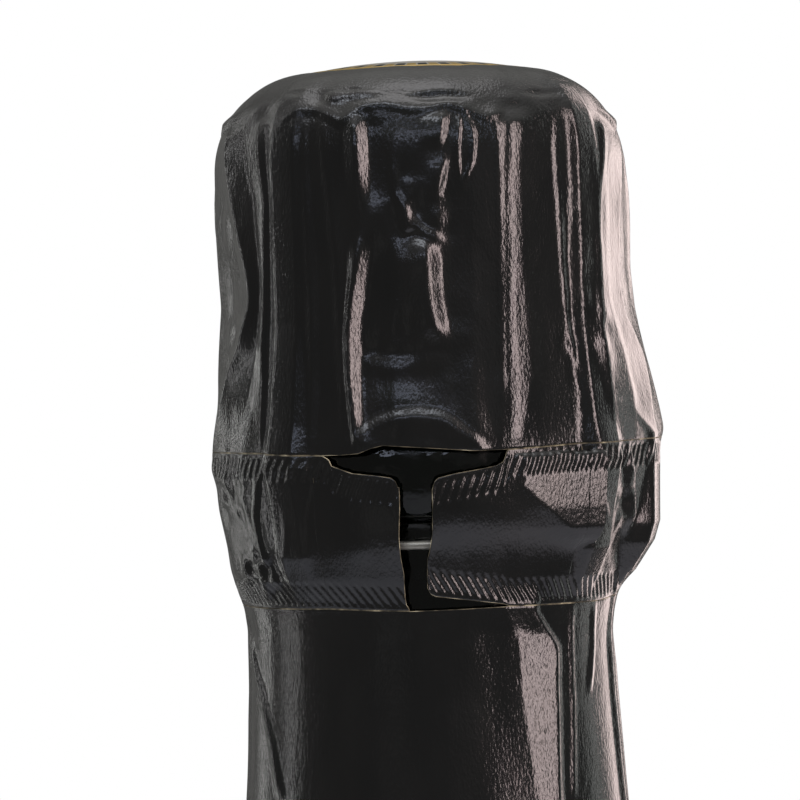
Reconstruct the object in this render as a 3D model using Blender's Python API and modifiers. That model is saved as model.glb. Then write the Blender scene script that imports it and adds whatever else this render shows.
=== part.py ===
"""A sealed champagne bottle: glass, wine, cork, wire cage and the foil hood with its tear strip.

Run it with: blender --background --python part.py
Heights are measured up from the floor. An angle is measured round the bottle from its front, which
faces -Y, towards +X.
"""

import math

import bpy
from mathutils import Matrix, Vector

MM = 0.001
DEGREE = math.radians(1)
FULL_TURN = 2 * math.pi
HALF_TURN = math.pi

# Clearances
SEAT_GAP = 0.3 * MM
WIRE_GAP = 0.2 * MM
MERGE_DISTANCE = 0.01 * MM

# Glass bottle
BOTTLE_HEIGHT = 300 * MM
BODY_RADIUS = 44.2 * MM
BODY_WALL = 4.8 * MM
HEEL_RADIUS = 7 * MM
BASE_RING_WIDTH = 4.5 * MM
PUNT_HEIGHT = 28 * MM
FLOOR_WALL = 7 * MM
SHOULDER_HEIGHT = 118 * MM
NECK_LENGTH = 72 * MM
NECK_FOOT_RADIUS = 18 * MM
NECK_FOOT_WALL = 4.6 * MM
NECK_TOP_RADIUS = 14.5 * MM
NECK_TOP_DEPTH = 25 * MM
BORE_RADIUS = 9.2 * MM
BORE_FLARE = 0.6 * MM
RING_RADIUS = 17.1 * MM
RING_DEPTH = 11.4 * MM
RING_HEIGHT = 9.2 * MM
COLLAR_RADIUS = 13.6 * MM
LIP_RADIUS = 14.3 * MM
LIP_HEIGHT = 3.6 * MM
LIP_ROUND = 0.9 * MM
SHOULDER_PULL_SHARE = 0.47
NECK_PULL_SHARE = 0.42
RING_UNDERCUT_ANGLE = 75 * DEGREE
FLOOR_PULL_SHARE = 2 / 3
PUNT_FOOT_PULL_SHARE = 0.7
PUNT_FOOT_RISE_SHARE = 0.15

# Wine
FILL_DEPTH = 68 * MM

# Cork
CORK_STEM_LENGTH = 24.5 * MM
CORK_DISC_HEIGHT = 5.5 * MM
CORK_HEAD_RADIUS = 14.6 * MM
CORK_HEAD_HEIGHT = 16 * MM
CORK_HEAD_ROUND = 2.6 * MM

# Metal cap on the cork
CAP_SHEET = 0.35 * MM
CAP_SKIRT = 2.6 * MM
CAP_RIM_ROUND = 1.4 * MM
CAP_DOME_HEIGHT = 4 * MM
CAP_DOME_RADIUS = 11 * MM
DOME_TOP_PULL_SHARE = 0.55
DOME_FOOT_PULL_SHARE = 0.8
DOME_FOOT_RISE_SHARE = 0.35

# Wire cage
LEG_COUNT = 4
FIRST_LEG_ANGLE = 50.625 * DEGREE
LEG_WIRE_RADIUS = 0.35 * MM
BELT_WIRE_RADIUS = 0.425 * MM
TOP_RING_RADIUS = 12.5 * MM
BELT_DEPTH = 17.7 * MM
RIM_WRAP_ANGLE = 60 * DEGREE
LEG_TWISTS = 3.25
LOOP_ANGLE = 78.75 * DEGREE
LOOP_TWISTS = 1.5
LOOP_LENGTH = 12.5 * MM
LOOP_HALF_WIDTH = 3.9 * MM
LOOP_FOOT_WIDTH_SHARE = 0.55
LOOP_LEAN_POWER = 0.6
SHANK_LENGTH = 9 * MM
WIRE_BEND = 1.1 * MM
EYE_BERTH = 5 * DEGREE
BELT_EASE_ANGLE = 7 * DEGREE

# Foil hood
FOIL_SHEET = 0.2 * MM
FOIL_LENGTH = 110 * MM
BADGE_RADIUS = 9.6 * MM
BADGE_DOME = 0.7 * MM
BADGE_LAP = 1 * MM
BADGE_LIFT = 0.35 * MM
BROW_SLACK = 1.35 * MM
BROW_DEPTH = 8 * MM
WAIST_SLACK = 1.45 * MM
RING_SLACK = 0.75 * MM
WAIST_FLARE_SHARE = 0.55
PLEAT_COUNT = 16
PLEAT_DEPTH = 0.32 * MM
WRINKLE_COUNT = 7
WRINKLE_DEPTH = 0.12 * MM
BULGE_WIDTH = 6.5 * DEGREE
RIM_BULGE_SHARE = 0.95
NECK_BULGE_SHARE = 0.85
BELT_BULGE_SHARE = 0.6

# Tear strip and its tab
TEAR_TOP_DEPTH = 10.2 * MM
TEAR_STRIP_WIDTH = 12.85 * MM
GAP_START_ANGLE = -7.2 * DEGREE
TAB_START_ANGLE = 0.7 * DEGREE
TAB_END_ANGLE = 19 * DEGREE
STRIP_PIECES = 7
TAB_TOP_CUT = 2.4 * MM
TAB_FOOT_CUT = 1.4 * MM
CUT_REACH = 17.5 * DEGREE
HINGE_STANDOFF = 0.25 * MM

# How finely round pieces are divided
ROUND_STEPS = 32
FOIL_STEPS = 64
STRIP_STEPS = 9
STRIP_ROWS = 5
TAB_STEPS = 6
SKIRT_ROWS = 6
CROWN_STEPS = 5
CORNER_STEPS = 3
LIP_STEPS = 2
FILLET_STEPS = 2
SHOULDER_STEPS = 7
CAVITY_SHOULDER_STEPS = 5
FLOOR_STEPS = 4
PUNT_STEPS = 5
WIRE_SIDES_RESOLUTION = 1
POINTS_PER_TWIST = 7
ROUTE_FINE_STEPS = 8
RIM_STEPS = 2
EYE_STEPS = 4
TOP_ARC_STEPS = 5
LOOP_STEPS = 16
BELT_ARC_STEPS = 6
BELT_LOOP_STEPS = 2
BELT_SIDE_STEPS = 4

# Heights and radii that follow from the sizes above
NECK_FOOT = BOTTLE_HEIGHT - NECK_LENGTH
NECK_TOP = BOTTLE_HEIGHT - NECK_TOP_DEPTH
RING_MIDDLE = BOTTLE_HEIGHT - RING_DEPTH
FILL_LEVEL = BOTTLE_HEIGHT - FILL_DEPTH
CORK_SEAT = BOTTLE_HEIGHT + SEAT_GAP
CORK_TOP = CORK_SEAT + CORK_HEAD_HEIGHT
CORK_FOOT = BOTTLE_HEIGHT - CORK_STEM_LENGTH
CAP_RADIUS = CORK_HEAD_RADIUS + SEAT_GAP + CAP_SHEET
CAP_GROOVE_TOP = CORK_TOP + SEAT_GAP + CAP_SHEET
CAP_DOME_TOP = CAP_GROOVE_TOP + CAP_DOME_HEIGHT
BELT_HEIGHT = BOTTLE_HEIGHT - BELT_DEPTH
LEG_OFFSET = LEG_WIRE_RADIUS + WIRE_GAP / 2
LEG_REACH = LEG_OFFSET + LEG_WIRE_RADIUS
SHANK_OFFSET = BELT_WIRE_RADIUS + WIRE_GAP / 2
SHANK_REACH = SHANK_OFFSET + BELT_WIRE_RADIUS
EYE_RADIUS = BELT_WIRE_RADIUS + WIRE_GAP + LEG_WIRE_RADIUS
BADGE_TOP = CAP_DOME_TOP + BADGE_LIFT + FOIL_SHEET
BADGE_EDGE = BADGE_TOP - FOIL_SHEET - BADGE_DOME
HOOD_TOP = BADGE_EDGE - SEAT_GAP - FOIL_SHEET
TEAR_TOP = BOTTLE_HEIGHT - TEAR_TOP_DEPTH
TEAR_FOOT = TEAR_TOP - TEAR_STRIP_WIDTH
FOIL_FOOT = BADGE_TOP - FOIL_LENGTH


def along_bezier(start, start_pull, end_pull, end, steps):
    """Points of a cubic curve in the (radius, height) plane, without its first point."""
    points = []
    for step in range(1, steps + 1):
        t = step / steps
        s = 1 - t
        weights = (s**3, 3 * s * s * t, 3 * s * t * t, t**3)
        corners = (start, start_pull, end_pull, end)
        points.append(tuple(sum(w * c[axis] for w, c in zip(weights, corners)) for axis in (0, 1)))
    return points


def along_ellipse(centre, half_width, half_height, start, end, steps):
    """Points of an ellipse's arc in the (radius, height) plane, from one angle to the other."""
    angles = [start + (end - start) * step / steps for step in range(steps + 1)]
    return [
        (centre[0] + half_width * math.cos(a), centre[1] + half_height * math.sin(a)) for a in angles
    ]


def interpolate(table, place):
    """The value at a place in a table of (place, value) rows that run downwards."""
    if place >= table[0][0]:
        return table[0][1]
    for (high, above), (low, below) in zip(table, table[1:]):
        if place >= low:
            return below + (above - below) * (place - low) / (high - low)
    return table[-1][1]


def round_the_bottle(radius, angle, height):
    """The point at an angle from the bottle's front."""
    return Vector((radius * math.sin(angle), -radius * math.cos(angle), height))


def angle_between(angle, other):
    """The smallest turn between two angles."""
    return abs((angle - other + HALF_TURN) % FULL_TURN - HALF_TURN)


def bottle_side():
    """The outside of the glass from the collar down to the heel, as (radius, height) points."""
    neck_slope = (NECK_FOOT_RADIUS - NECK_TOP_RADIUS) / (NECK_TOP - NECK_FOOT)
    ring_upper = along_ellipse(
        (COLLAR_RADIUS, RING_MIDDLE),
        RING_RADIUS - COLLAR_RADIUS,
        RING_HEIGHT / 2,
        HALF_TURN / 2,
        0,
        CORNER_STEPS,
    )
    ring_lower = along_ellipse(
        (NECK_TOP_RADIUS, RING_MIDDLE),
        RING_RADIUS - NECK_TOP_RADIUS,
        RING_HEIGHT / 2,
        0,
        -RING_UNDERCUT_ANGLE,
        CORNER_STEPS,
    )
    fillet = along_bezier(
        ring_lower[-1],
        (NECK_TOP_RADIUS + SEAT_GAP, RING_MIDDLE - RING_HEIGHT / 2),
        (NECK_TOP_RADIUS, RING_MIDDLE - RING_HEIGHT / 2),
        (NECK_TOP_RADIUS, NECK_TOP),
        FILLET_STEPS,
    )
    rise = NECK_FOOT - SHOULDER_HEIGHT
    shoulder = along_bezier(
        (NECK_FOOT_RADIUS, NECK_FOOT),
        (NECK_FOOT_RADIUS + neck_slope * rise * NECK_PULL_SHARE, NECK_FOOT - rise * NECK_PULL_SHARE),
        (BODY_RADIUS, SHOULDER_HEIGHT + rise * SHOULDER_PULL_SHARE),
        (BODY_RADIUS, SHOULDER_HEIGHT),
        SHOULDER_STEPS,
    )
    return ring_upper + ring_lower[1:] + fillet + [(NECK_FOOT_RADIUS, NECK_FOOT)] + shoulder


def cavity(inset):
    """The inside of the glass from the punt's tip up to the neck's foot, drawn in by an inset."""
    floor = FLOOR_WALL + inset
    tip = PUNT_HEIGHT + FLOOR_WALL + inset
    wall = BODY_RADIUS - BODY_WALL - inset
    punt_foot = BODY_RADIUS - HEEL_RADIUS - BASE_RING_WIDTH
    punt = [(0, tip)] + along_bezier(
        (0, tip),
        (punt_foot / 2, tip),
        (punt_foot * FLOOR_PULL_SHARE, floor),
        (punt_foot, floor),
        FLOOR_STEPS,
    )
    corner = along_ellipse(
        (punt_foot, floor + HEEL_RADIUS), wall - punt_foot, HEEL_RADIUS, -HALF_TURN / 2, 0, CORNER_STEPS
    )
    neck_foot = NECK_FOOT_RADIUS - NECK_FOOT_WALL - inset
    rise = NECK_FOOT - SHOULDER_HEIGHT
    shoulder = along_bezier(
        (wall, SHOULDER_HEIGHT),
        (wall, SHOULDER_HEIGHT + rise * SHOULDER_PULL_SHARE),
        (neck_foot, NECK_FOOT - rise * NECK_PULL_SHARE),
        (neck_foot, NECK_FOOT),
        CAVITY_SHOULDER_STEPS,
    )
    return punt + corner[1:] + [(wall, SHOULDER_HEIGHT)] + shoulder


def glass_radius(height):
    """The outer radius of the glass at a height from the collar down."""
    return interpolate([(height, radius) for radius, height in bottle_side()], height)


def belt_radius():
    """How far out the cage's belt runs: the eyes of the legs pass between it and the glass."""
    return glass_radius(BELT_HEIGHT) + SEAT_GAP + LEG_WIRE_RADIUS + EYE_RADIUS


def bore():
    """The inside of the neck from its foot up to the lip."""
    return [
        (BORE_RADIUS + BORE_FLARE, CORK_FOOT - CORK_DISC_HEIGHT),
        (BORE_RADIUS, CORK_FOOT + CORK_DISC_HEIGHT),
        (BORE_RADIUS, BOTTLE_HEIGHT - LIP_ROUND / 2),
        (BORE_RADIUS + LIP_ROUND / 2, BOTTLE_HEIGHT),
    ]


def material(name, colour, roughness, metallic=0.0, transmission=0.0):
    made = bpy.data.materials.new(name)
    made.use_nodes = True
    made.diffuse_color = (*colour, 1)
    shader = made.node_tree.nodes["Principled BSDF"]
    shader.inputs["Base Color"].default_value = (*colour, 1)
    shader.inputs["Roughness"].default_value = roughness
    shader.inputs["Metallic"].default_value = metallic
    shader.inputs["Transmission Weight"].default_value = transmission
    return made


def add_object(name, data, finish, collection):
    made = bpy.data.objects.new(name, data)
    collection.objects.link(made)
    data.materials.append(finish)
    return made


def turn(name, outline, finish, collection, steps=ROUND_STEPS, sweep=FULL_TURN):
    """A turned piece: an outline of (radius, height) points, spun round the bottle's axis."""
    profile = bpy.data.meshes.new(name)
    points = [(radius, 0, height) for radius, height in outline]
    edges = [(i, i + 1) for i in range(len(points) - 1)]
    profile.from_pydata(points, edges, [])
    made = add_object(name, profile, finish, collection)
    screw = made.modifiers.new("Screw", "SCREW")
    screw.angle = sweep
    screw.steps = steps
    screw.render_steps = steps
    screw.use_merge_vertices = True
    screw.merge_threshold = MERGE_DISTANCE
    screw.use_smooth_shade = True
    return made


def thicken(made, sheet, outwards=True):
    """Gives a sheet its thickness, on the side that its faces point to or on the other."""
    solidify = made.modifiers.new("Solidify", "SOLIDIFY")
    solidify.thickness = sheet
    solidify.offset = 1 if outwards else -1


def wire(name, points, radius, finish, collection):
    """A closed loop of round wire through points."""
    curve = bpy.data.curves.new(name, "CURVE")
    curve.dimensions = "3D"
    curve.bevel_depth = radius
    curve.bevel_resolution = WIRE_SIDES_RESOLUTION
    spline = curve.splines.new("POLY")
    spline.points.add(len(points) - 1)
    for spot, point in zip(spline.points, points):
        spot.co = (*point, 1)
    spline.use_cyclic_u = True
    return add_object(name, curve, finish, collection)


def even_steps(corners, count):
    """Points at even distances along a smooth curve through (radius, height) corners, ends included."""
    fine = []
    ends = [corners[0], *corners, corners[-1]]
    for a, b, c, d in zip(ends, ends[1:], ends[2:], ends[3:]):
        for part in range(ROUTE_FINE_STEPS):
            t = part / ROUTE_FINE_STEPS
            fine.append(
                tuple(
                    0.5
                    * (
                        2 * b[k]
                        + (c[k] - a[k]) * t
                        + (2 * a[k] - 5 * b[k] + 4 * c[k] - d[k]) * t**2
                        + (3 * b[k] - a[k] - 3 * c[k] + d[k]) * t**3
                    )
                    for k in (0, 1)
                )
            )
    fine.append(tuple(corners[-1]))
    reach = [0]
    for a, b in zip(fine, fine[1:]):
        reach.append(reach[-1] + math.dist(a, b))
    points = []
    for step in range(count):
        target = reach[-1] * step / (count - 1)
        k = max(i for i in range(len(fine) - 1) if reach[i] <= target)
        share = (target - reach[k]) / (reach[k + 1] - reach[k])
        points.append(tuple(p + (q - p) * share for p, q in zip(fine[k], fine[k + 1])))
    return points


def twisted_pair(route, angle, offset, twists):
    """The two strands of a twisted pair that runs along a (radius, height) route at an angle.

    They start side by side, the first towards smaller angles, and turn about the route.
    """
    strands = ([], [])
    last = len(route) - 1
    for i, (radius, height) in enumerate(route):
        ahead = route[min(i + 1, last)]
        behind = route[max(i - 1, 0)]
        run = Vector((ahead[0] - behind[0], ahead[1] - behind[1])).normalized()
        phase = FULL_TURN * twists * i / last
        for strand, side in zip(strands, (-1, 1)):
            sideways = side * offset * math.cos(phase)
            outwards = side * offset * math.sin(phase)
            spot_radius = radius - run.y * outwards
            strand.append(
                round_the_bottle(spot_radius, angle + sideways / spot_radius, height + run.x * outwards)
            )
    return strands


def leg_route():
    """Where a leg of the cage runs: over the cap's edge, down past the glass ring and in above the belt."""
    corner = (CAP_RADIUS - CAP_RIM_ROUND, CAP_GROOVE_TOP - CAP_RIM_ROUND)
    reach = CAP_RIM_ROUND + SEAT_GAP + LEG_REACH
    start = (TOP_RING_RADIUS + WIRE_BEND, CAP_GROOVE_TOP + SEAT_GAP + LEG_WIRE_RADIUS)
    over_rim = along_ellipse(corner, reach, reach, RIM_WRAP_ANGLE, 0, RIM_STEPS)
    return [start] + over_rim + [
        (CAP_RADIUS + SEAT_GAP + LEG_REACH, CAP_GROOVE_TOP - CAP_SKIRT),
        (CAP_RADIUS + SEAT_GAP + LEG_REACH, BOTTLE_HEIGHT),
        (RING_RADIUS + SEAT_GAP + LEG_REACH, RING_MIDDLE),
        (belt_radius(), BELT_HEIGHT + EYE_RADIUS + LEG_WIRE_RADIUS),
    ]


def frame_wire_points():
    """One wire, bent into the ring on the cap and four twisted legs, each ending in an eye for the belt."""
    ring_height = CAP_GROOVE_TOP + SEAT_GAP + LEG_WIRE_RADIUS
    leg_points = round(LEG_TWISTS * POINTS_PER_TWIST) + 1
    corner = (LEG_OFFSET + WIRE_BEND) / TOP_RING_RADIUS
    spacing = FULL_TURN / LEG_COUNT
    points = []
    for leg in range(LEG_COUNT):
        angle = FIRST_LEG_ANGLE + leg * spacing
        first, second = twisted_pair(even_steps(leg_route(), leg_points), angle, LEG_OFFSET, LEG_TWISTS)
        points += first
        for step in range(EYE_STEPS + 1):
            turned = HALF_TURN + HALF_TURN * step / EYE_STEPS
            radius = belt_radius() + EYE_RADIUS * math.cos(turned)
            points.append(round_the_bottle(radius, angle, BELT_HEIGHT + EYE_RADIUS * math.sin(turned)))
        points += reversed(second)
        for step in range(TOP_ARC_STEPS + 1):
            swung = angle + corner + (spacing - 2 * corner) * step / TOP_ARC_STEPS
            points.append(round_the_bottle(TOP_RING_RADIUS, swung, ring_height))
    return points


def belt_stops():
    """The angles where something holds the belt off the glass: the eyes of the legs, and the loop's foot."""
    return [FIRST_LEG_ANGLE + leg * FULL_TURN / LEG_COUNT for leg in range(LEG_COUNT)] + [LOOP_ANGLE]


def belt_reach(angle):
    """How far out the belt runs at an angle: against the glass, except near its stops."""
    tight = glass_radius(BELT_HEIGHT + BELT_WIRE_RADIUS) + SEAT_GAP + BELT_WIRE_RADIUS
    nearest = min(angle_between(angle, stop) for stop in belt_stops())
    return tight + (belt_radius() - tight) * max(0, min(1, 1 - (nearest - EYE_BERTH) / BELT_EASE_ANGLE))


def belt_angles():
    """The angles of the belt's points from one side of the loop's foot round to the other."""
    corner = (SHANK_OFFSET + WIRE_BEND) / belt_radius()
    legs = sorted((stop - LOOP_ANGLE) % FULL_TURN for stop in belt_stops()[:-1])
    clear = EYE_BERTH + BELT_EASE_ANGLE
    angles = [corner, corner + BELT_EASE_ANGLE]
    for leg in legs:
        steps = BELT_SIDE_STEPS if leg == legs[0] else BELT_ARC_STEPS
        start = angles[-1]
        end = leg - clear
        angles += [start + (end - start) * step / steps for step in range(1, steps + 1)]
        angles += [leg - EYE_BERTH, leg, leg + EYE_BERTH, leg + clear]
    end = FULL_TURN - corner
    start = angles[-1]
    angles += [start + (end - start) * step / BELT_LOOP_STEPS for step in range(1, BELT_LOOP_STEPS + 1)]
    return [LOOP_ANGLE + angle for angle in angles]


def belt_wire_points():
    """One wire round the neck under the glass ring, its ends twisted together into the loop."""
    over_ring = RING_RADIUS + SEAT_GAP + SHANK_REACH
    shank_top = BELT_HEIGHT + SHANK_LENGTH
    shank = [
        (belt_radius() + WIRE_BEND / 2, BELT_HEIGHT + WIRE_BEND),
        (over_ring, RING_MIDDLE - RING_HEIGHT / 4),
        (over_ring, shank_top),
    ]
    shank_points = round(LOOP_TWISTS * POINTS_PER_TWIST) + 1
    first, second = twisted_pair(even_steps(shank, shank_points), LOOP_ANGLE, SHANK_OFFSET, LOOP_TWISTS)
    loop_end = CORK_HEAD_RADIUS + SEAT_GAP + BELT_WIRE_RADIUS + WIRE_GAP
    loop = []
    for step in range(1, LOOP_STEPS):
        turned = FULL_TURN * step / LOOP_STEPS
        up = (1 - math.cos(turned)) / 2
        width = LOOP_HALF_WIDTH * (LOOP_FOOT_WIDTH_SHARE + (1 - LOOP_FOOT_WIDTH_SHARE) * up)
        side = width * math.sin(turned)
        radius = over_ring + (loop_end - over_ring) * up**LOOP_LEAN_POWER
        loop.append(round_the_bottle(radius, LOOP_ANGLE + side / radius, shank_top + LOOP_LENGTH * up))
    belt = [round_the_bottle(belt_reach(angle), angle, BELT_HEIGHT) for angle in belt_angles()]
    return belt + first + loop + list(reversed(second))


def foil_side():
    """The hood's inner face from the badge down to its foot, as (height, radius) rows."""
    brow = CAP_RADIUS + BROW_SLACK
    waist = CAP_RADIUS + WAIST_SLACK
    ring = RING_RADIUS + RING_SLACK
    belt = belt_radius() + BELT_WIRE_RADIUS + SEAT_GAP
    opening = BADGE_RADIUS - BADGE_LAP
    crown = along_ellipse(
        (opening, HOOD_TOP - BROW_DEPTH), brow - opening, BROW_DEPTH, HALF_TURN / 2, 0, CROWN_STEPS
    )
    rows = [(height, radius) for radius, height in crown] + [
        (BOTTLE_HEIGHT + CORK_HEAD_HEIGHT / 3, waist),
        (BOTTLE_HEIGHT - LIP_HEIGHT / 2, waist),
        (RING_MIDDLE + RING_HEIGHT / 2, waist + (ring - waist) * WAIST_FLARE_SHARE),
        (TEAR_TOP, ring),
        (RING_MIDDLE - RING_HEIGHT / 4, ring - SEAT_GAP / 2),
        (BELT_HEIGHT, belt),
    ]
    rows.append((TEAR_FOOT, glass_radius(TEAR_FOOT) + 2 * SEAT_GAP))
    for step in range(1, SKIRT_ROWS + 1):
        height = TEAR_FOOT + (FOIL_FOOT - TEAR_FOOT) * step / SKIRT_ROWS
        rows.append((height, glass_radius(height) + SEAT_GAP))
    return rows


def foil_bulge(angle, height):
    """How far the foil stands off its plain side: its pleats, and the wires that it is pressed over."""
    brow = CAP_GROOVE_TOP
    pleat = interpolate([(brow, 0), (brow - CAP_SKIRT, 1), (RING_MIDDLE, 1), (BELT_HEIGHT, 0)], height)
    depth = PLEAT_DEPTH * (1 - 2 * abs(math.sin(PLEAT_COUNT * angle / 2)))
    fold = interpolate([(TEAR_FOOT, 1), (NECK_FOOT, 0)], height) if height < TEAR_FOOT else 0
    wrinkle = WRINKLE_DEPTH * (1 + math.sin(WRINKLE_COUNT * angle))
    leg_rows = [
        (HOOD_TOP, 0),
        (CAP_GROOVE_TOP + CAP_RIM_ROUND, RIM_BULGE_SHARE),
        (CAP_GROOVE_TOP - CAP_RIM_ROUND, RIM_BULGE_SHARE),
        (BOTTLE_HEIGHT, NECK_BULGE_SHARE),
        (RING_MIDDLE, RIM_BULGE_SHARE),
        (BELT_HEIGHT, BELT_BULGE_SHARE),
        (TEAR_FOOT, 0),
    ]
    legs = 0
    for leg in range(LEG_COUNT):
        away = angle_between(angle, FIRST_LEG_ANGLE + leg * FULL_TURN / LEG_COUNT)
        legs += math.exp(-((away / BULGE_WIDTH) ** 2) / 2)
    legs *= interpolate(leg_rows, height) * (2 * LEG_REACH + SEAT_GAP)
    shank_rows = [
        (BOTTLE_HEIGHT + SHANK_LENGTH, 0),
        (BELT_HEIGHT + SHANK_LENGTH, 1),
        (RING_MIDDLE - RING_HEIGHT / 4, 1),
        (BELT_HEIGHT, BELT_BULGE_SHARE),
        (TEAR_FOOT, 0),
    ]
    away = angle_between(angle, LOOP_ANGLE)
    shank = math.exp(-((away / BULGE_WIDTH) ** 2) / 2)
    shank *= interpolate(shank_rows, height) * (2 * SHANK_REACH + SEAT_GAP)
    return pleat * depth + fold * wrinkle + max(legs, 0) + shank


def sheet_mesh(name, outline, finish, collection, steps, start, sweep):
    """A plain turned sheet of foil as an editable mesh, starting at an angle from the front."""
    turned = turn(name, outline, finish, collection, steps, sweep)
    bpy.context.view_layer.update()
    mesh = bpy.data.meshes.new_from_object(turned.evaluated_get(bpy.context.evaluated_depsgraph_get()))
    bpy.data.objects.remove(turned)
    mesh.transform(Matrix.Rotation(start - HALF_TURN / 2, 4, "Z"))
    return mesh


def press_foil(mesh):
    """Moves each point of a foil sheet out, or into a pleat, along its own normal."""
    normals = [vertex.normal.copy() for vertex in mesh.vertices]
    for vertex, normal in zip(mesh.vertices, normals):
        angle = math.atan2(vertex.co.x, -vertex.co.y)
        vertex.co += normal * foil_bulge(angle, vertex.co.z)


def foil_sheet(name, top, foot, steps, finish, collection):
    """A stretch of the hood that goes all the way round, between two heights."""
    rows = foil_side()
    heights = [top] + [height for height, radius in rows if foot < height < top] + [foot]
    outline = [(interpolate(rows, height), height) for height in heights]
    mesh = sheet_mesh(name, outline, finish, collection, steps, 0, FULL_TURN)
    press_foil(mesh)
    made = add_object(name, mesh, finish, collection)
    mesh.materials.pop()
    thicken(made, FOIL_SHEET)
    return made


def cut_depth(angle):
    """How far the thumb cut has gone into the strip's edge: 0 past its reach, 1 beside the gap."""
    beside = min(angle_between(angle, GAP_START_ANGLE), angle_between(angle, TAB_START_ANGLE))
    return math.sqrt(max(0, 1 - (beside / CUT_REACH) ** 2))


def strip_piece(name, start, end, steps, foot_cut, hinge_angle, finish, collection):
    """A stretch of the tear strip. Its origin is on the upright line that it swings about."""
    top = TEAR_TOP - SEAT_GAP / 2
    foot = TEAR_FOOT + SEAT_GAP / 2
    rows = foil_side()
    heights = [top + (foot - top) * row / (STRIP_ROWS - 1) for row in range(STRIP_ROWS)]
    outline = [(interpolate(rows, height), height) for height in heights]
    mesh = sheet_mesh(name, outline, finish, collection, steps, start, end - start)
    for vertex in mesh.vertices:
        angle = math.atan2(vertex.co.x, -vertex.co.y)
        share = (vertex.co.z - foot) / (top - foot)
        depth = cut_depth(angle)
        raised = foot_cut * depth
        lowered = TAB_TOP_CUT * depth
        height = foot + raised + share * (top - foot - raised - lowered)
        vertex.co = round_the_bottle(interpolate(rows, height), angle, height)
    press_foil(mesh)
    pivot = hinge_point(hinge_angle)
    mesh.transform(Matrix.Translation(-pivot))
    made = add_object(name, mesh, finish, collection)
    mesh.materials.pop()
    made.location = pivot
    thicken(made, FOIL_SHEET)
    return made


def hinge_point(angle):
    """Where the tear strip bends at an angle: just outside its widest part."""
    radius = interpolate(foil_side(), TEAR_TOP) + PLEAT_DEPTH + FOIL_SHEET + HINGE_STANDOFF
    return round_the_bottle(radius, angle, TEAR_TOP - TEAR_STRIP_WIDTH / 2)


def hang_from(child, parent):
    """Makes one object move with another, where it stands."""
    bpy.context.view_layer.update()
    child.parent = parent
    child.matrix_parent_inverse = parent.matrix_world.inverted()


def build_glass(finish, collection):
    lip = along_ellipse(
        (LIP_RADIUS - LIP_ROUND, BOTTLE_HEIGHT - LIP_ROUND),
        LIP_ROUND,
        LIP_ROUND,
        HALF_TURN / 2,
        0,
        LIP_STEPS,
    )
    bead = [
        (LIP_RADIUS, BOTTLE_HEIGHT - LIP_HEIGHT),
        (COLLAR_RADIUS, BOTTLE_HEIGHT - LIP_HEIGHT - LIP_ROUND),
    ]
    heel = along_ellipse(
        (BODY_RADIUS - HEEL_RADIUS, HEEL_RADIUS), HEEL_RADIUS, HEEL_RADIUS, 0, -HALF_TURN / 2, CORNER_STEPS
    )
    punt_foot = BODY_RADIUS - HEEL_RADIUS - BASE_RING_WIDTH
    punt = [(punt_foot, 0)] + along_bezier(
        (punt_foot, 0),
        (punt_foot * PUNT_FOOT_PULL_SHARE, PUNT_HEIGHT * PUNT_FOOT_RISE_SHARE),
        (punt_foot / 2, PUNT_HEIGHT),
        (0, PUNT_HEIGHT),
        PUNT_STEPS,
    )
    outline = cavity(0) + bore() + lip + bead + bottle_side() + heel + punt
    return turn("glass_bottle", outline, finish, collection)


def build_wine(finish, collection):
    inside = cavity(SEAT_GAP)
    share = (FILL_LEVEL - NECK_FOOT) / (CORK_FOOT - CORK_DISC_HEIGHT - NECK_FOOT)
    neck_foot = inside[-1][0]
    surface = neck_foot + (BORE_RADIUS + BORE_FLARE - SEAT_GAP - neck_foot) * share
    outline = [(0, FILL_LEVEL), (surface, FILL_LEVEL)] + list(reversed(inside))
    return turn("wine_fill", outline, finish, collection)


def build_cork(body_finish, disc_finish, collection):
    stem_radius = BORE_RADIUS - SEAT_GAP
    discs_top = CORK_FOOT + 2 * CORK_DISC_HEIGHT
    crown = along_ellipse(
        (CORK_HEAD_RADIUS - CORK_HEAD_ROUND, CORK_TOP - CORK_HEAD_ROUND),
        CORK_HEAD_ROUND,
        CORK_HEAD_ROUND,
        HALF_TURN / 2,
        0,
        CORNER_STEPS,
    )
    jaw = along_ellipse(
        (CORK_HEAD_RADIUS - CORK_HEAD_ROUND, CORK_SEAT + CORK_HEAD_ROUND),
        CORK_HEAD_ROUND,
        CORK_HEAD_ROUND,
        0,
        -HALF_TURN / 2,
        CORNER_STEPS,
    )
    stem = [(stem_radius, CORK_SEAT), (stem_radius, discs_top), (0, discs_top)]
    body = turn("cork_body", [(0, CORK_TOP)] + crown + jaw + stem, body_finish, collection)
    for name, foot in (("cork_disc_upper", CORK_FOOT + CORK_DISC_HEIGHT), ("cork_disc_lower", CORK_FOOT)):
        top = foot + CORK_DISC_HEIGHT - SEAT_GAP
        outline = [(0, top), (stem_radius, top), (stem_radius, foot), (0, foot)]
        hang_from(turn(name, outline, disc_finish, collection), body)
    return body


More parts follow.
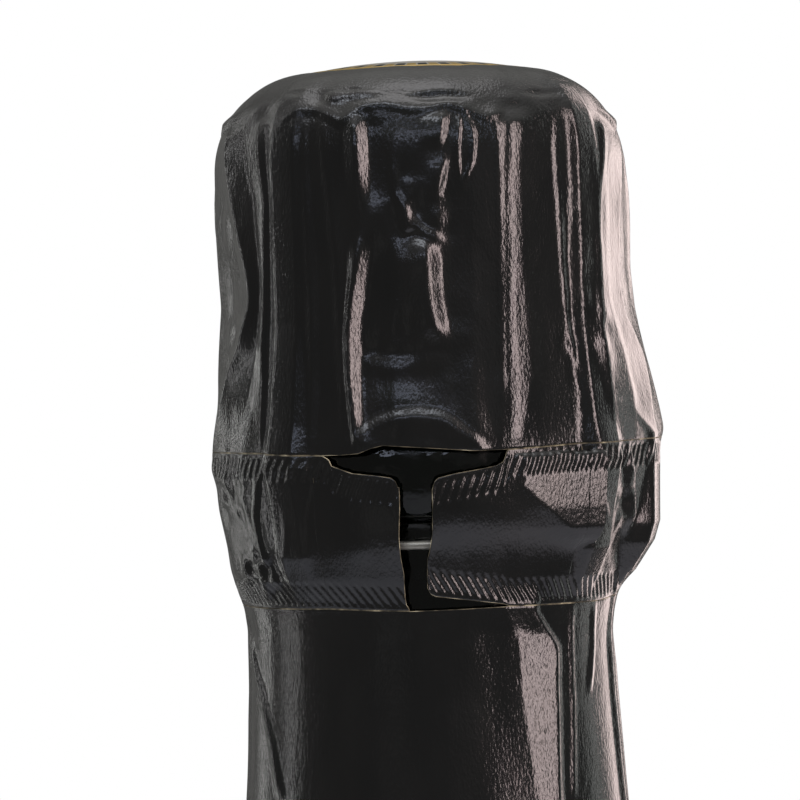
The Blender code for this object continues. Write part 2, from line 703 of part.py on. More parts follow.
def build_cap(finish, collection):
    """The domed metal cap between the cork and the cage, with a groove for the cage's top ring."""
    dome = along_bezier(
        (0, CAP_DOME_TOP),
        (CAP_DOME_RADIUS * DOME_TOP_PULL_SHARE, CAP_DOME_TOP),
        (CAP_DOME_RADIUS * DOME_FOOT_PULL_SHARE, CAP_GROOVE_TOP + CAP_DOME_HEIGHT * DOME_FOOT_RISE_SHARE),
        (CAP_DOME_RADIUS, CAP_GROOVE_TOP),
        CORNER_STEPS,
    )
    corner = (CAP_RADIUS - CAP_RIM_ROUND, CAP_GROOVE_TOP - CAP_RIM_ROUND)
    rim = along_ellipse(corner, CAP_RIM_ROUND, CAP_RIM_ROUND, HALF_TURN / 2, 0, CORNER_STEPS)
    rim.append((CAP_RADIUS, CAP_GROOVE_TOP - CAP_SKIRT))
    made = turn("muselet_cap", [(0, CAP_DOME_TOP)] + dome + rim, finish, collection)
    thicken(made, CAP_SHEET, outwards=False)
    return made


def build_cage(finish, collection):
    frame = wire("cage_frame", frame_wire_points(), LEG_WIRE_RADIUS, finish, collection)
    belt = wire("cage_belt", belt_wire_points(), BELT_WIRE_RADIUS, finish, collection)
    return frame, belt


def build_hood(finish, badge_finish, collection):
    """The part of the foil above the tear strip, with the round badge in its top."""
    hood = foil_sheet("foil_hood", HOOD_TOP, TEAR_TOP + SEAT_GAP / 2, FOIL_STEPS, finish, collection)
    middle = (0, BADGE_TOP - FOIL_SHEET)
    pull = (BADGE_RADIUS / 2, BADGE_TOP - FOIL_SHEET)
    dome = along_bezier(middle, pull, pull, (BADGE_RADIUS, BADGE_EDGE), CORNER_STEPS)
    badge = turn("foil_badge", [middle] + dome, badge_finish, collection)
    thicken(badge, FOIL_SHEET)
    hang_from(badge, hood)
    return hood


def build_tear_strip(finish, collection):
    """The tear strip in stretches that bend at their ends, the last one fixed beside the gap."""
    sweep = (GAP_START_ANGLE + FULL_TURN - TAB_END_ANGLE) / STRIP_PIECES
    half_slit = SEAT_GAP / 2 / RING_RADIUS
    pieces = []
    for number in range(STRIP_PIECES):
        start = TAB_END_ANGLE + number * sweep
        end = start + sweep
        name = f"tear_strip_{number + 1}"
        pieces.append(
            strip_piece(name, start + half_slit, end - half_slit, STRIP_STEPS, 0, end, finish, collection)
        )
    tab = strip_piece(
        "tear_tab",
        TAB_START_ANGLE,
        TAB_END_ANGLE - half_slit,
        TAB_STEPS,
        TAB_FOOT_CUT,
        TAB_END_ANGLE,
        finish,
        collection,
    )
    chain = [tab] + pieces
    for child, parent in zip(chain, chain[1:]):
        hang_from(child, parent)
    return chain


def main():
    for old in list(bpy.data.objects):
        bpy.data.objects.remove(old)
    collection = bpy.data.collections.new("champagne_bottle")
    bpy.context.scene.collection.children.link(collection)

    black_foil = material("black_foil", (0.006, 0.006, 0.007), 0.18, metallic=0.6)
    glass = material("dark_green_glass", (0.01, 0.035, 0.012), 0.05, transmission=0.6)
    steel = material("cage_wire", (0.55, 0.55, 0.53), 0.35, metallic=1.0)
    bottle = build_glass(glass, collection)
    hang_from(build_wine(material("wine", (0.75, 0.6, 0.25), 0.05, transmission=0.8), collection), bottle)
    skirt_top = TEAR_FOOT - SEAT_GAP / 2
    skirt = foil_sheet("foil_skirt", skirt_top, FOIL_FOOT, ROUND_STEPS, black_foil, collection)
    hang_from(skirt, bottle)
    cork_grain = material("cork_grain", (0.55, 0.36, 0.2), 0.85)
    cork = build_cork(cork_grain, material("cork_disc", (0.62, 0.43, 0.26), 0.8), collection)
    hang_from(cork, bottle)
    cap = build_cap(material("cap_tinplate", (0.02, 0.02, 0.022), 0.3, metallic=0.9), collection)
    hang_from(cap, cork)
    for piece in build_cage(steel, collection):
        hang_from(piece, cap)
    badge_finish = material("badge", (0.8, 0.78, 0.72), 0.3, metallic=0.3)
    hang_from(build_hood(black_foil, badge_finish, collection), cap)
    strip = build_tear_strip(black_foil, collection)
    hang_from(strip[-1], bottle)


main()
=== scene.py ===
import math

import bpy
import numpy as np
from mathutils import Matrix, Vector


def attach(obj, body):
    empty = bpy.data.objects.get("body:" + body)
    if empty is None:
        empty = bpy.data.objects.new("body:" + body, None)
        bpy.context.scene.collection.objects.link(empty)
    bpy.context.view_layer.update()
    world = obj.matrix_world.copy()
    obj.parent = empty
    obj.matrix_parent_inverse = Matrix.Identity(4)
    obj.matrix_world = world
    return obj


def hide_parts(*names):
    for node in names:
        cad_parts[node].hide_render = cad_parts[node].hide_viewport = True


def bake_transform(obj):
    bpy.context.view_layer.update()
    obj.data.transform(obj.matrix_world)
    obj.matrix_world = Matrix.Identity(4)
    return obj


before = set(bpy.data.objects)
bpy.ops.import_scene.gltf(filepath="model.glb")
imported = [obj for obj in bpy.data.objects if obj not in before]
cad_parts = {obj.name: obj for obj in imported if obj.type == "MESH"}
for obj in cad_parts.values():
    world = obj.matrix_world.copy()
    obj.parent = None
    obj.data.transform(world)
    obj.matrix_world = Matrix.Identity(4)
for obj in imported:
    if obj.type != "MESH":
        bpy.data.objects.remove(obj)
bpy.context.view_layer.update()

# Units. An angle is measured round the bottle from its front, which faces -Y, towards +X.
MM = 0.001
DEGREE = math.radians(1)
FULL_TURN = 2 * math.pi
HALF_TURN = math.pi

# The photograph's camera, in millimetres and in the photograph's pixels
PHOTO_SIDE = 800
FOCAL_PIXELS = 3480
SENSOR = 36
CAMERA_PLACE = np.array((-2.17, -290.0, 299.57))
CAMERA_PITCH = 1.2 * DEGREE
CAMERA_ROLL = 1.7 * DEGREE

# Glass, in millimetres
BOTTLE_HEIGHT = 300
BODY_RADIUS = 44.2
BODY_WALL = 4.8
HEEL_RADIUS = 7
BASE_RING_WIDTH = 4.5
PUNT_HEIGHT = 28
FLOOR_WALL = 7
SHOULDER_HEIGHT = 118
NECK_FOOT = 228
NECK_FOOT_RADIUS = 18
NECK_FOOT_WALL = 4.6
NECK_TOP = 275
NECK_TOP_RADIUS = 14.5
BORE_RADIUS = 9.2
BORE_FLARE = 0.6
RING_RADIUS = 17.1
RING_MIDDLE = 288.6
RING_HALF_HEIGHT = 4.6
COLLAR_RADIUS = 13.6
LIP_RADIUS = 14.3
LIP_HEIGHT = 3.6
LIP_ROUND = 0.9
SHOULDER_PULL_SHARE = 0.47
NECK_PULL_SHARE = 0.42
FILL_LEVEL = 232
GLASS_GAP = 0.3

# Cork and its metal cap, in millimetres
CORK_FOOT = 275.5
CORK_DISC_HEIGHT = 5.5
DISC_CHAMFER = 0.25
CORK_SEAT = 300.3
CORK_TOP = 316.3
CORK_HEAD_RADIUS = 14.6
CORK_HEAD_ROUND = 2.6
CAP_RADIUS = 15.25
CAP_TOP = 316.95
CAP_SHEET = 0.35
CAP_SKIRT = 2.6
CAP_RIM_ROUND = 1.4
CAP_DOME_HEIGHT = 4
CAP_DOME_RADIUS = 11

# Foil, in millimetres
FOIL_SHEET = 0.12
FOIL_FOOT = 211.6
HOOD_OPENING = 8.8
CROWN_FOOT = 312.5
CROWN_HEIGHT = 8.05
CROWN_MEAN_RADIUS = 8.1
CROWN_SQUARENESS = 0.6
SKIRT_DROP = 65.2
CUT_EDGE = 0.04
RIM_CHAMFER = 0.6
MEAN_RADIUS = 17.2
OVER_GLASS = 0.22
INSIDE_STEP = 1.9
INSIDE_REACH = 10
FRONT_REACH = 95 * DEGREE

# Badge, in millimetres
BADGE_RADIUS = 9.6
BADGE_EDGE = 320.55
BADGE_TOP = 321.5
BADGE_SHEET = 0.14
BADGE_DASHES = 30

# Tear strip, in millimetres, with its angles from the front
TEAR_TOP = 289.75
TEAR_FOOT = 276.95
TEAR_GAP = 0.1
STRIP_DROP = 12.85
STRIP_PIECES = 7
STRIP_CELL = 0.095
TAB_END = 19 * DEGREE
GAP_START = -7.2 * DEGREE
STRIP_SWEEP = (FULL_TURN + GAP_START - TAB_END) / STRIP_PIECES
HATCH_PITCH = 0.75
HATCH_BAND = 2.0
HATCH_REACH = 2.4
HATCH_DEPTH = 0.1
HATCH_SHARPNESS = 1.3
UPPER_LEAN = 0.4
LOWER_LEAN = 0.7

# Folds, and the wires that they pass over, in millimetres
LEG_ANGLES = [(50.625 + 90 * leg) * DEGREE for leg in range(-2, 2)]
LOOP_ANGLE = 78.75 * DEGREE
LEG_HALF_WIDTH = 1.0
WIRE_ROUNDING = 0.4
WIRE_SLOPE = 1.1
COVER_SHARPNESS = 5.0
TENT_FACING = 27 * DEGREE
FRONT_FACING = 10 * DEGREE
SEEN_EDGE = 86 * DEGREE
PLEAT_APART = 0.35 * DEGREE
PLEAT_ROUNDING = 0.42 * DEGREE
FLANK_ROUNDING = 0.65
LONG_FOLD = 24
FOLD_END = 2.4
LONG_TAPER = 0.4
FOLD_INSET = 0.4
LEVEL_FOLD_END = 0.04
SEEN_ANGLES = np.radians(np.arange(-86, 86.1, 0.25))
SEEN_HEIGHTS = np.arange(258, 325.2, 0.1)
SIDE_ROUNDING = 8
LINE_END = 0.5
LINE_STEP = 0.1
LINE_REACH = 9
LEVEL_STEP = 0.3 * DEGREE
LEVEL_REACH = 6
SWAY = 0.5
HIDDEN_ROWS = 6
SKIRT_ROWS = 4
FOLD_TOP = 279
IN_STRIP = 0.15
IN_STRIP_ASIDE = 0.45
BROW_CREASE = 315.6
BROW_SCALLOP = 0.8
BROW_SCALLOPS = 9.5
BROW_UNEVEN = 0.4
BROW_DEPTH = 0.3
SWELLING = 0.25
TENT_SLOPE = 1.5
FIRST_CRUMPLE_SEED = 40
NOISE_ROWS = 512
PIXELS_PER_MM = 12.5

# Where forms of the foil end: a height in millimetres or an angle, and how far the change reaches
ON_GLASS = (268, 7)
UPPER_FOIL = (262, 14)
LOWER_FOIL = (214, 20)
BROW = (316.5, 3)
PLEAT_TOP = (316.4, 1.8)
PLEAT_LOWER = (288.6, 2.4)
PLEAT_FOOT = (279, 4)
TENT_TOP = (290.6, 1.4)
LEG_SWELLING = (3.2, 2.2)
ASIDE = (70 * DEGREE, 25 * DEGREE)
STRIP_ASIDE = (40 * DEGREE, 20 * DEGREE)
UNSEEN = (62 * DEGREE, 8 * DEGREE)

# Stretches of height: a start, how far it rises, an end and how far it falls
SKIRT_PANELS = (228, 30, 279, 2)
CROWN_SWELLING = (314.5, 2, 322.5, 2.5)
SAG_STRETCH = (277, 3, 287.5, 3)
HATCH_STRETCH = (0.2, 0.25, HATCH_BAND + 0.2, 0.3)

# Surroundings. A lamp has a name, its azimuth and elevation from the front and its width and height in
# degrees, its radiance and its colour. The floor is in millimetres, and its fades and the lamps in metres.
LAMPS = [
    ("right_softbox", 53, 9, 14, 44, 4.8, (1.0, 0.82, 0.78)),
    ("right_back", 142, 2, 26, 60, 2.0, (1.0, 0.82, 0.78)),
    ("right_side", 112, 4, 9, 60, 0.9, (0.96, 1.0, 0.95)),
    ("left_back", -133, 4, 4, 60, 2.0, (1.0, 1.0, 0.97)),
    ("left_strip", -101, 4, 3, 60, 3.2, (1.0, 1.0, 0.98)),
    ("front_window", -8, 21, 44, 2.5, 2.6, (0.72, 0.80, 1.0)),
    ("overhead", 0, 88, 36, 30, 1.1, (1.0, 1.0, 1.0)),
    ("front_top", -20, 46, 50, 8, 2.8, (0.86, 0.92, 1.0)),
]
LAMP_DISTANCE = 0.7
LAMP_AIM = Vector((0, 0, 0.295))
CEILING_GLOW = 0.5
ROOM_GLOW = 0.11
BACK_GLOW = 0.10
MATT_GLOW = 0.35
FLOOR_RADIUS = 450
FLOOR_EDGES = 96
FADE_START = 0.16
FADE_END = 0.4
RIM_FADE = 0.3

# Meshes and materials. Heights here are in metres.
FOIL_CORNER = math.radians(50)
TURNED_CORNER = math.radians(40)
ON_AXIS = 1e-6
WELD_REACH = 0.000002
NECK_SMEAR_FOOT = 0.272
NECK_SMEAR_TOP = 0.280
CROWN_GRAIN_FOOT = 0.3135
CROWN_GRAIN_TOP = 0.3175

# Radius of the foil's outside at a height, down the left and the right of the photograph and its middle
LEFT_SIDE = [
    (312.5, 17.1), (308.2, 17.2), (301.5, 16.85), (294.8, 17.3), (289.9, 17.95), (288.2, 18.1),
    (286.5, 17.6), (284.8, 17.5), (281.5, 16.95), (279.8, 16.7), (278.2, 16.2), (276.5, 15.5),
    (274.8, 15.2), (269.8, 15.3), (261.5, 15.7),
]
RIGHT_SIDE = [
    (312.5, 17.0), (304.0, 17.1), (300.5, 17.4), (297.2, 18.1), (294.0, 18.8), (290.5, 19.5), (288.8, 19.2),
    (287.2, 18.9), (283.8, 18.3), (282.1, 17.35), (280.5, 16.7), (278.8, 16.2), (277.2, 15.6),
    (275.5, 15.2), (273.8, 14.95), (268.8, 15.2), (261.5, 15.8),
]
FRONT_SIDE = [
    (312.5, 17.0), (304.0, 17.0), (296.0, 17.2), (290.5, 17.75), (287.0, 17.8), (285.2, 17.65),
    (284.0, 17.35), (283.0, 16.95), (282.0, 16.55), (281.2, 16.3), (280.0, 16.0), (279.0, 15.8),
    (278.0, 15.6), (277.0, 15.4), (275.0, 15.15), (269.8, 15.25), (261.5, 15.75),
]

# How far out the foil reaches over the wires at a height: over a leg, over the loop, and between the front
# right leg and the ring. The last table is how far the strip sags at an angle in degrees.
LEG_REACH = [
    (276.9, 15.0), (279, 16.4), (281.5, 17.75), (284, 18.1), (288.6, 19.15), (292, 18.4), (300, 17.35),
    (316.7, 17.4), (318.9, 17.2), (320.4, 15),
]
LOOP_REACH = [
    (276.9, 15.0), (279, 17.1), (281.4, 18.7), (283, 19.2), (290.3, 19.35), (292.5, 18.3), (295, 17.6),
    (300, 16.7), (303.8, 16.2),
]
TENT_REACH = [
    (281.4, 17.2), (282.4, 18.3), (283.2, 18.85), (285, 19.1), (287.5, 19.3), (288.6, 19.35), (291, 18.7),
]
SAG = [(-60, 0), (-35, 2.4), (-8, 1.7), (2, 0), (25, 0), (42, 1.2), (60, 0)]

# Edges of the foil along the torn lines and the gap, in the photograph's pixels, from left to right or down
UPPER_LINE = [(211, 452), (265, 453), (322, 456.5)]
HOOD_EDGE = UPPER_LINE + [
    (340, 456), (358, 454), (371, 448.5), (383, 446.5), (430, 448), (473, 451), (502, 450), (508, 449),
    (580, 443), (655, 437),
]
BAND_EDGE = UPPER_LINE + [
    (328, 459), (331, 466), (352, 473), (375, 475.5), (391, 478), (396, 481), (398, 488),
]
TAB_EDGE = [
    (432, 489), (434, 481.5), (438, 478), (455, 473.5), (482, 469), (496, 465.5), (503, 461), (507, 450),
    (580, 443), (655, 437),
]
LOWER_LINE = [(243, 605), (330, 609.5), (412, 611.5), (509, 606.5), (600, 600), (625, 590)]
TAB_FOOT = [
    (428, 588), (431, 594.5), (436, 597), (470, 600.5), (502, 604), (509, 606.5), (600, 600), (625, 590),
]
BAND_END = [(398, 476), (398, 520), (400.5, 545), (403.5, 565), (404.5, 597), (406, 606), (409, 612)]
TAB_START = [(432, 476), (432, 520), (429.6, 545), (428.4, 565), (428.4, 600)]


def camera_axes():
    """The camera's right, up and forward directions."""
    forward = np.array((0, math.cos(CAMERA_PITCH), -math.sin(CAMERA_PITCH)))
    level_right = np.array((1.0, 0, 0))
    level_up = np.array((0, math.sin(CAMERA_PITCH), math.cos(CAMERA_PITCH)))
    up = math.cos(CAMERA_ROLL) * level_up + math.sin(CAMERA_ROLL) * level_right
    right = math.cos(CAMERA_ROLL) * level_right - math.sin(CAMERA_ROLL) * level_up
    return right, up, forward


def to_pixels(points):
    """Where points in millimetres fall in the photograph."""
    right, up, forward = camera_axes()
    seen = points - CAMERA_PLACE
    depth = seen @ forward
    across = PHOTO_SIDE / 2 + FOCAL_PIXELS * (seen @ right) / depth
    down = PHOTO_SIDE / 2 - FOCAL_PIXELS * (seen @ up) / depth
    return across, down


def smooth_step(share):
    share = np.clip(share, 0, 1)
    return share * share * (3 - 2 * share)


def rise(value, start, reach):
    return smooth_step((value - start) / reach)


def fall(value, end, reach):
    return smooth_step((end - value) / reach)


def smooth_table(rows):
    """A rounded curve through (height, radius) rows, as a function of height."""
    heights = np.arange(rows[-1][0], rows[0][0] + LINE_STEP / 2, LINE_STEP)
    values = np.interp(heights, *zip(*sorted(rows)))
    kernel = np.hanning(2 * SIDE_ROUNDING + 1)
    padded = np.pad(values, SIDE_ROUNDING, mode="edge")
    rounded = np.convolve(padded, kernel / kernel.sum(), mode="valid")
    return lambda height: np.interp(height, heights, rounded)


def along_bezier(start, start_pull, end_pull, end, steps):
    """Points of a cubic curve in the (radius, height) plane, without its first point."""
    points = []
    for step in range(1, steps + 1):
        t = step / steps
        s = 1 - t
        weights = (s**3, 3 * s * s * t, 3 * s * t * t, t**3)
        corners = (start, start_pull, end_pull, end)
        points.append(tuple(sum(w * c[axis] for w, c in zip(weights, corners)) for axis in (0, 1)))
    return points


def along_ellipse(centre, half_width, half_height, start, end, steps):
    """Points of an ellipse's arc in the (radius, height) plane, from one angle to the other."""
    angles = [start + (end - start) * step / steps for step in range(steps + 1)]
    return [(centre[0] + half_width * math.cos(a), centre[1] + half_height * math.sin(a)) for a in angles]


def bottle_side():
    """The outside of the glass from the collar down to the body, as (radius, height) points."""
    slope = (NECK_FOOT_RADIUS - NECK_TOP_RADIUS) / (NECK_TOP - NECK_FOOT)
    rise = NECK_FOOT - SHOULDER_HEIGHT
    upper = along_ellipse(
        (COLLAR_RADIUS, RING_MIDDLE), RING_RADIUS - COLLAR_RADIUS, RING_HALF_HEIGHT, HALF_TURN / 2, 0, 12
    )
    lower = along_ellipse(
        (NECK_TOP_RADIUS, RING_MIDDLE), RING_RADIUS - NECK_TOP_RADIUS, RING_HALF_HEIGHT,
        0, -HALF_TURN / 2.4, 10,
    )
    ring_foot = RING_MIDDLE - RING_HALF_HEIGHT
    fillet = along_bezier(
        lower[-1], (NECK_TOP_RADIUS + GLASS_GAP, ring_foot), (NECK_TOP_RADIUS, ring_foot),
        (NECK_TOP_RADIUS, NECK_TOP), 8,
    )
    shoulder = along_bezier(
        (NECK_FOOT_RADIUS, NECK_FOOT),
        (NECK_FOOT_RADIUS + slope * rise * NECK_PULL_SHARE, NECK_FOOT - rise * NECK_PULL_SHARE),
        (BODY_RADIUS, SHOULDER_HEIGHT + rise * SHOULDER_PULL_SHARE),
        (BODY_RADIUS, SHOULDER_HEIGHT), 40,
    )
    return upper + lower[1:] + fillet + [(NECK_FOOT_RADIUS, NECK_FOOT)] + shoulder


def cavity(inset):
    """The inside of the glass from the punt's tip up to the neck's foot, drawn in by an inset."""
    floor = FLOOR_WALL + inset
    tip = PUNT_HEIGHT + FLOOR_WALL + inset
    wall = BODY_RADIUS - BODY_WALL - inset
    punt_foot = BODY_RADIUS - HEEL_RADIUS - BASE_RING_WIDTH
    punt = [(0, tip)] + along_bezier(
        (0, tip), (punt_foot / 2, tip), (punt_foot * 2 / 3, floor), (punt_foot, floor), 16
    )
    corner = along_ellipse(
        (punt_foot, floor + HEEL_RADIUS), wall - punt_foot, HEEL_RADIUS, -HALF_TURN / 2, 0, 8
    )
    neck_foot = NECK_FOOT_RADIUS - NECK_FOOT_WALL - inset
    rise = NECK_FOOT - SHOULDER_HEIGHT
    shoulder = along_bezier(
        (wall, SHOULDER_HEIGHT), (wall, SHOULDER_HEIGHT + rise * SHOULDER_PULL_SHARE),
        (neck_foot, NECK_FOOT - rise * NECK_PULL_SHARE), (neck_foot, NECK_FOOT), 30,
    )
    return punt + corner[1:] + [(wall, SHOULDER_HEIGHT)] + shoulder


# The plain foil, before its folds

left_radius = smooth_table(LEFT_SIDE)
right_radius = smooth_table(RIGHT_SIDE)
front_radius = smooth_table(FRONT_SIDE)
GLASS_ROWS = sorted((height, radius) for radius, height in bottle_side() if height <= NECK_TOP)


def side_radius(angle, height):
    """The radius of the plain foil below its crown."""
    side = np.sin(angle)
    toward_side = np.where(side < 0, left_radius(height), right_radius(height))
    mean = (left_radius(height) + front_radius(height)) / 2
    middle = np.where(np.cos(angle) > 0, front_radius(height), mean)
    bulge = np.where(side > 0, side**6, side**2)
    upper = middle + (toward_side - middle) * bulge
    glass = np.interp(height, *zip(*GLASS_ROWS))
    return upper + (glass + OVER_GLASS - upper) * fall(height, *ON_GLASS)


def foil_point(angle, height, lift=0.0):
    """A point of the foil. Above its crown's foot, height goes on along the crown's curve."""
    phi = np.clip((height - CROWN_FOOT) / CROWN_MEAN_RADIUS, 0, HALF_TURN / 2)
    level = np.minimum(height, CROWN_FOOT)
    power = 2 / (2 + CROWN_SQUARENESS * np.clip(np.cos(angle), 0, 1))
    reach = side_radius(angle, level) - HOOD_OPENING
    radius = HOOD_OPENING + reach * np.clip(np.cos(phi), 0, 1) ** power + lift * np.cos(phi)
    level = level + CROWN_HEIGHT * np.sin(phi) ** power + lift * np.sin(phi)
    return np.stack((radius * np.sin(angle), -radius * np.cos(angle), level), axis=-1)


def pixel_finder():
    """A function from a pixel of the photograph to the (angle, height) of the plain foil there."""
    angles, heights = np.meshgrid(SEEN_ANGLES, SEEN_HEIGHTS)
    across, down = to_pixels(foil_point(angles, heights))

    def find(x, y):
        nearest = np.argmin((across - x) ** 2 + (down - y) ** 2)
        return angles.flat[nearest], heights.flat[nearest]

    return find


find_pixel = pixel_finder()


def turn_between(angle, other):
    """The signed turn from one angle to another."""
    return (angle - other + HALF_TURN) % FULL_TURN - HALF_TURN


def from_front(angle):
    return np.abs(turn_between(angle, 0))


def round_line(pixels, behind):
    """Height at an angle along a line through pixels, which goes round the back at a given height."""
    angles, heights = zip(*sorted(find_pixel(x, y) for x, y in pixels))
    angles = (-HALF_TURN, angles[0] - LINE_END, *angles, angles[-1] + LINE_END, HALF_TURN)
    heights = (behind, behind, *heights, behind, behind)
    return lambda angle: np.interp(turn_between(angle, 0), angles, heights)


def upright_line(pixels):
    """The heights and angles along a line through pixels."""
    return tuple(zip(*sorted(find_pixel(x, y)[::-1] for x, y in pixels)))


def rounded(places, values, step=LINE_STEP, reach=LINE_REACH):
    """A rounded curve through values at places: its finer places and its values there."""
    fine = np.arange(places[0], places[-1] + step, step)
    kernel = np.hanning(2 * reach + 3)[1:-1]
    ends = (reach, reach)
    padded = np.pad(np.interp(fine, places, values), ends, mode="reflect", reflect_type="odd")
    return fine, np.convolve(padded, kernel / kernel.sum(), mode="valid")


def smooth_level(pixels):
    """The angles and heights along a rounded line through pixels."""
    return rounded(*zip(*sorted(find_pixel(x, y) for x, y in pixels)), LEVEL_STEP, LEVEL_REACH)


# Pleat lines of the hood, from left to right: pixels of the photograph, and how far the foil stands off its
# plain side there, in millimetres. The foil is flat between one line and the next.

PLEATS = [
    [(222, 112, 0), (226, 200, -0.2), (236, 280, -0.4), (228, 350, -0.3), (214, 430, 0)],
    [(228, 112, 0.2), (231, 135, 0.45), (236, 202, 0.55), (251, 278, 0.5), (253, 300, 0.5), (242, 346, 0.5),
     (223, 403, 0.4), (215, 437, 0.2)],
    [(246, 112, -0.05), (252, 200, -0.15), (260, 278, -0.05), (256, 346, -0.05), (245, 403, -0.1),
     (240, 445, 0)],
    [(262, 112, 0.15), (267, 200, 0.36), (265, 308, 0.36), (263, 350, 0.36), (263, 445, 0.3)],
    [(267, 112, 0), (272, 200, 0.03), (270, 308, 0.03), (268, 350, 0.03), (269, 445, 0)],
    [(280, 112, 0), (277, 221, 0), (275, 297, 0), (275, 354, 0), (279, 440, 0)],
    [(307, 112, 0.1), (310, 240, 0.3), (314, 316, 0.33), (314, 392, 0.3), (311, 445, 0.2)],
    [(311, 112, 0), (314, 240, 0), (318, 316, 0), (318, 392, 0), (315, 445, 0)],
    [(317, 112, 0), (323, 200, -0.03), (330, 280, -0.02), (334, 350, 0), (337, 440, -0.02)],
    [(322, 112, 0.05), (331, 200, 0.13), (338, 280, 0.14), (341, 350, 0.14), (346, 440, 0.1)],
    [(342, 112, 0), (346, 200, 0), (347, 280, 0), (344.5, 335, 0.1), (345.5, 377, 0.1), (351, 440, 0)],
    [(355, 112, 0.4), (357, 150, 0.55), (359, 190, 0.35), (361, 210, 0.1), (361, 232, 0.1),
     (358, 256, 0.45), (351.5, 300, 0.65), (348, 335, 0.7), (349, 377, 0.7), (354, 430, 0.5),
     (357, 446, 0.1)],
    [(367, 112, -0.3), (369, 150, -0.45), (371, 190, -0.3), (373, 210, 0), (373, 232, 0), (371, 256, -0.35),
     (365, 300, -0.48), (361, 335, -0.45), (361, 377, -0.45), (365, 430, -0.3), (367, 446, 0)],
    [(396, 112, -0.1), (396, 200, -0.1), (396, 280, 0), (394, 350, -0.15), (396, 420, 0)],
    [(424, 112, 0), (424, 220, 0.05), (424, 280, 0), (424, 350, -0.05), (424, 420, 0)],
    [(450, 112, -0.05), (450, 200, -0.1), (452, 280, -0.1), (452, 350, -0.1), (452, 420, 0)],
    [(472, 112, 0.05), (472, 200, 0.1), (473, 280, 0.1), (474, 350, 0.1), (474, 420, 0.05)],
    [(487, 112, 0.2), (490, 128, 0.25), (493, 200, 0.3), (495, 280, 0.3), (497, 392, 0.3), (499, 447, 0.1)],
    [(492, 112, 0.3), (495, 128, 0.37), (498, 200, 0.42), (500, 280, 0.42), (502, 392, 0.42),
     (504, 447, 0.15)],
    [(504, 112, 0.25), (503, 164, 0.37), (503, 263, 0.385), (503.5, 339, 0.38), (505, 400, 0.37),
     (505, 447, 0.1)],
    [(508, 112, 0.35), (506, 164, 0.44), (506, 263, 0.44), (507, 339, 0.44), (508, 400, 0.44),
     (507, 447, 0.15)],
    [(513, 112, 0.36), (511.5, 164, 0.455), (512, 263, 0.455), (514, 339, 0.455), (516, 400, 0.45),
     (511, 447, 0.14)],
    [(520, 112, 0.32), (518, 164, 0.40), (521, 263, 0.38), (527, 339, 0.36), (531, 373, 0.34),
     (527, 403, 0.34), (518, 445, 0.1)],
    [(552, 112, -0.14), (552, 145, -0.18), (562, 278, -0.14), (569, 339, -0.18), (583, 392, -0.2),
     (594, 430, -0.05)],
    [(556, 112, -0.04), (556, 145, -0.05), (565, 278, 0), (570, 339, -0.04), (584, 392, -0.06),
     (598, 430, 0)],
    [(563, 112, -0.05), (563, 145, -0.1), (571, 278, -0.22), (575, 339, -0.32), (589, 392, -0.24),
     (604, 430, 0)],
    [(578, 112, -0.1), (578, 185, -0.1), (578, 210, 0), (577, 280, -0.05), (580, 340, -0.1), (597, 392, 0),
     (608, 430, -0.1)],
    [(594, 112, 0.55), (595, 185, 0.6), (594, 210, 0.55), (593, 280, 0.65), (597, 340, 0.75),
     (607, 392, 0.5), (616, 430, 0.2)],
    [(601, 112, 0.2), (603, 164, 0.35), (603, 248, 0.35), (606, 297, 0.35), (622, 354, 0.3),
     (631, 392, 0.3), (635, 430, 0.1)],
    [(606, 112, 0.05), (608, 164, 0), (608, 248, 0.15), (611, 297, 0.15), (627, 354, 0.1), (636, 392, 0.1),
     (641, 430, 0.05)],
    [(617, 125, 0.05), (619, 208, 0.05), (620, 278, 0), (628, 320, 0.05), (642, 354, 0.15), (649, 392, 0.2),
     (654, 430, 0.1)],
]

# The same down the right of the skirt

SKIRT_PLEATS = [
    [(480, 612, 0), (488, 645, 0), (491, 700, 0), (506, 798, 0)],
    [(505, 612, 0.22), (519, 645, 0.28), (521, 700, 0.28), (537, 798, 0.28)],
    [(533, 612, 0.4), (553, 645, 0.62), (554, 700, 0.62), (557, 798, 0.5)],
    [(540, 612, 0.1), (560, 645, 0.05), (561, 700, 0.05), (564, 798, 0.05)],
    [(552, 612, 0), (571, 645, 0), (571, 700, 0), (574, 798, 0)],
]

# Folds of the foil. Each has a height (below 0 for a groove), the widths of its two flanks, and a line in
# the photograph's pixels. An upright fold's flanks are its left and right, a level fold's its top and foot.

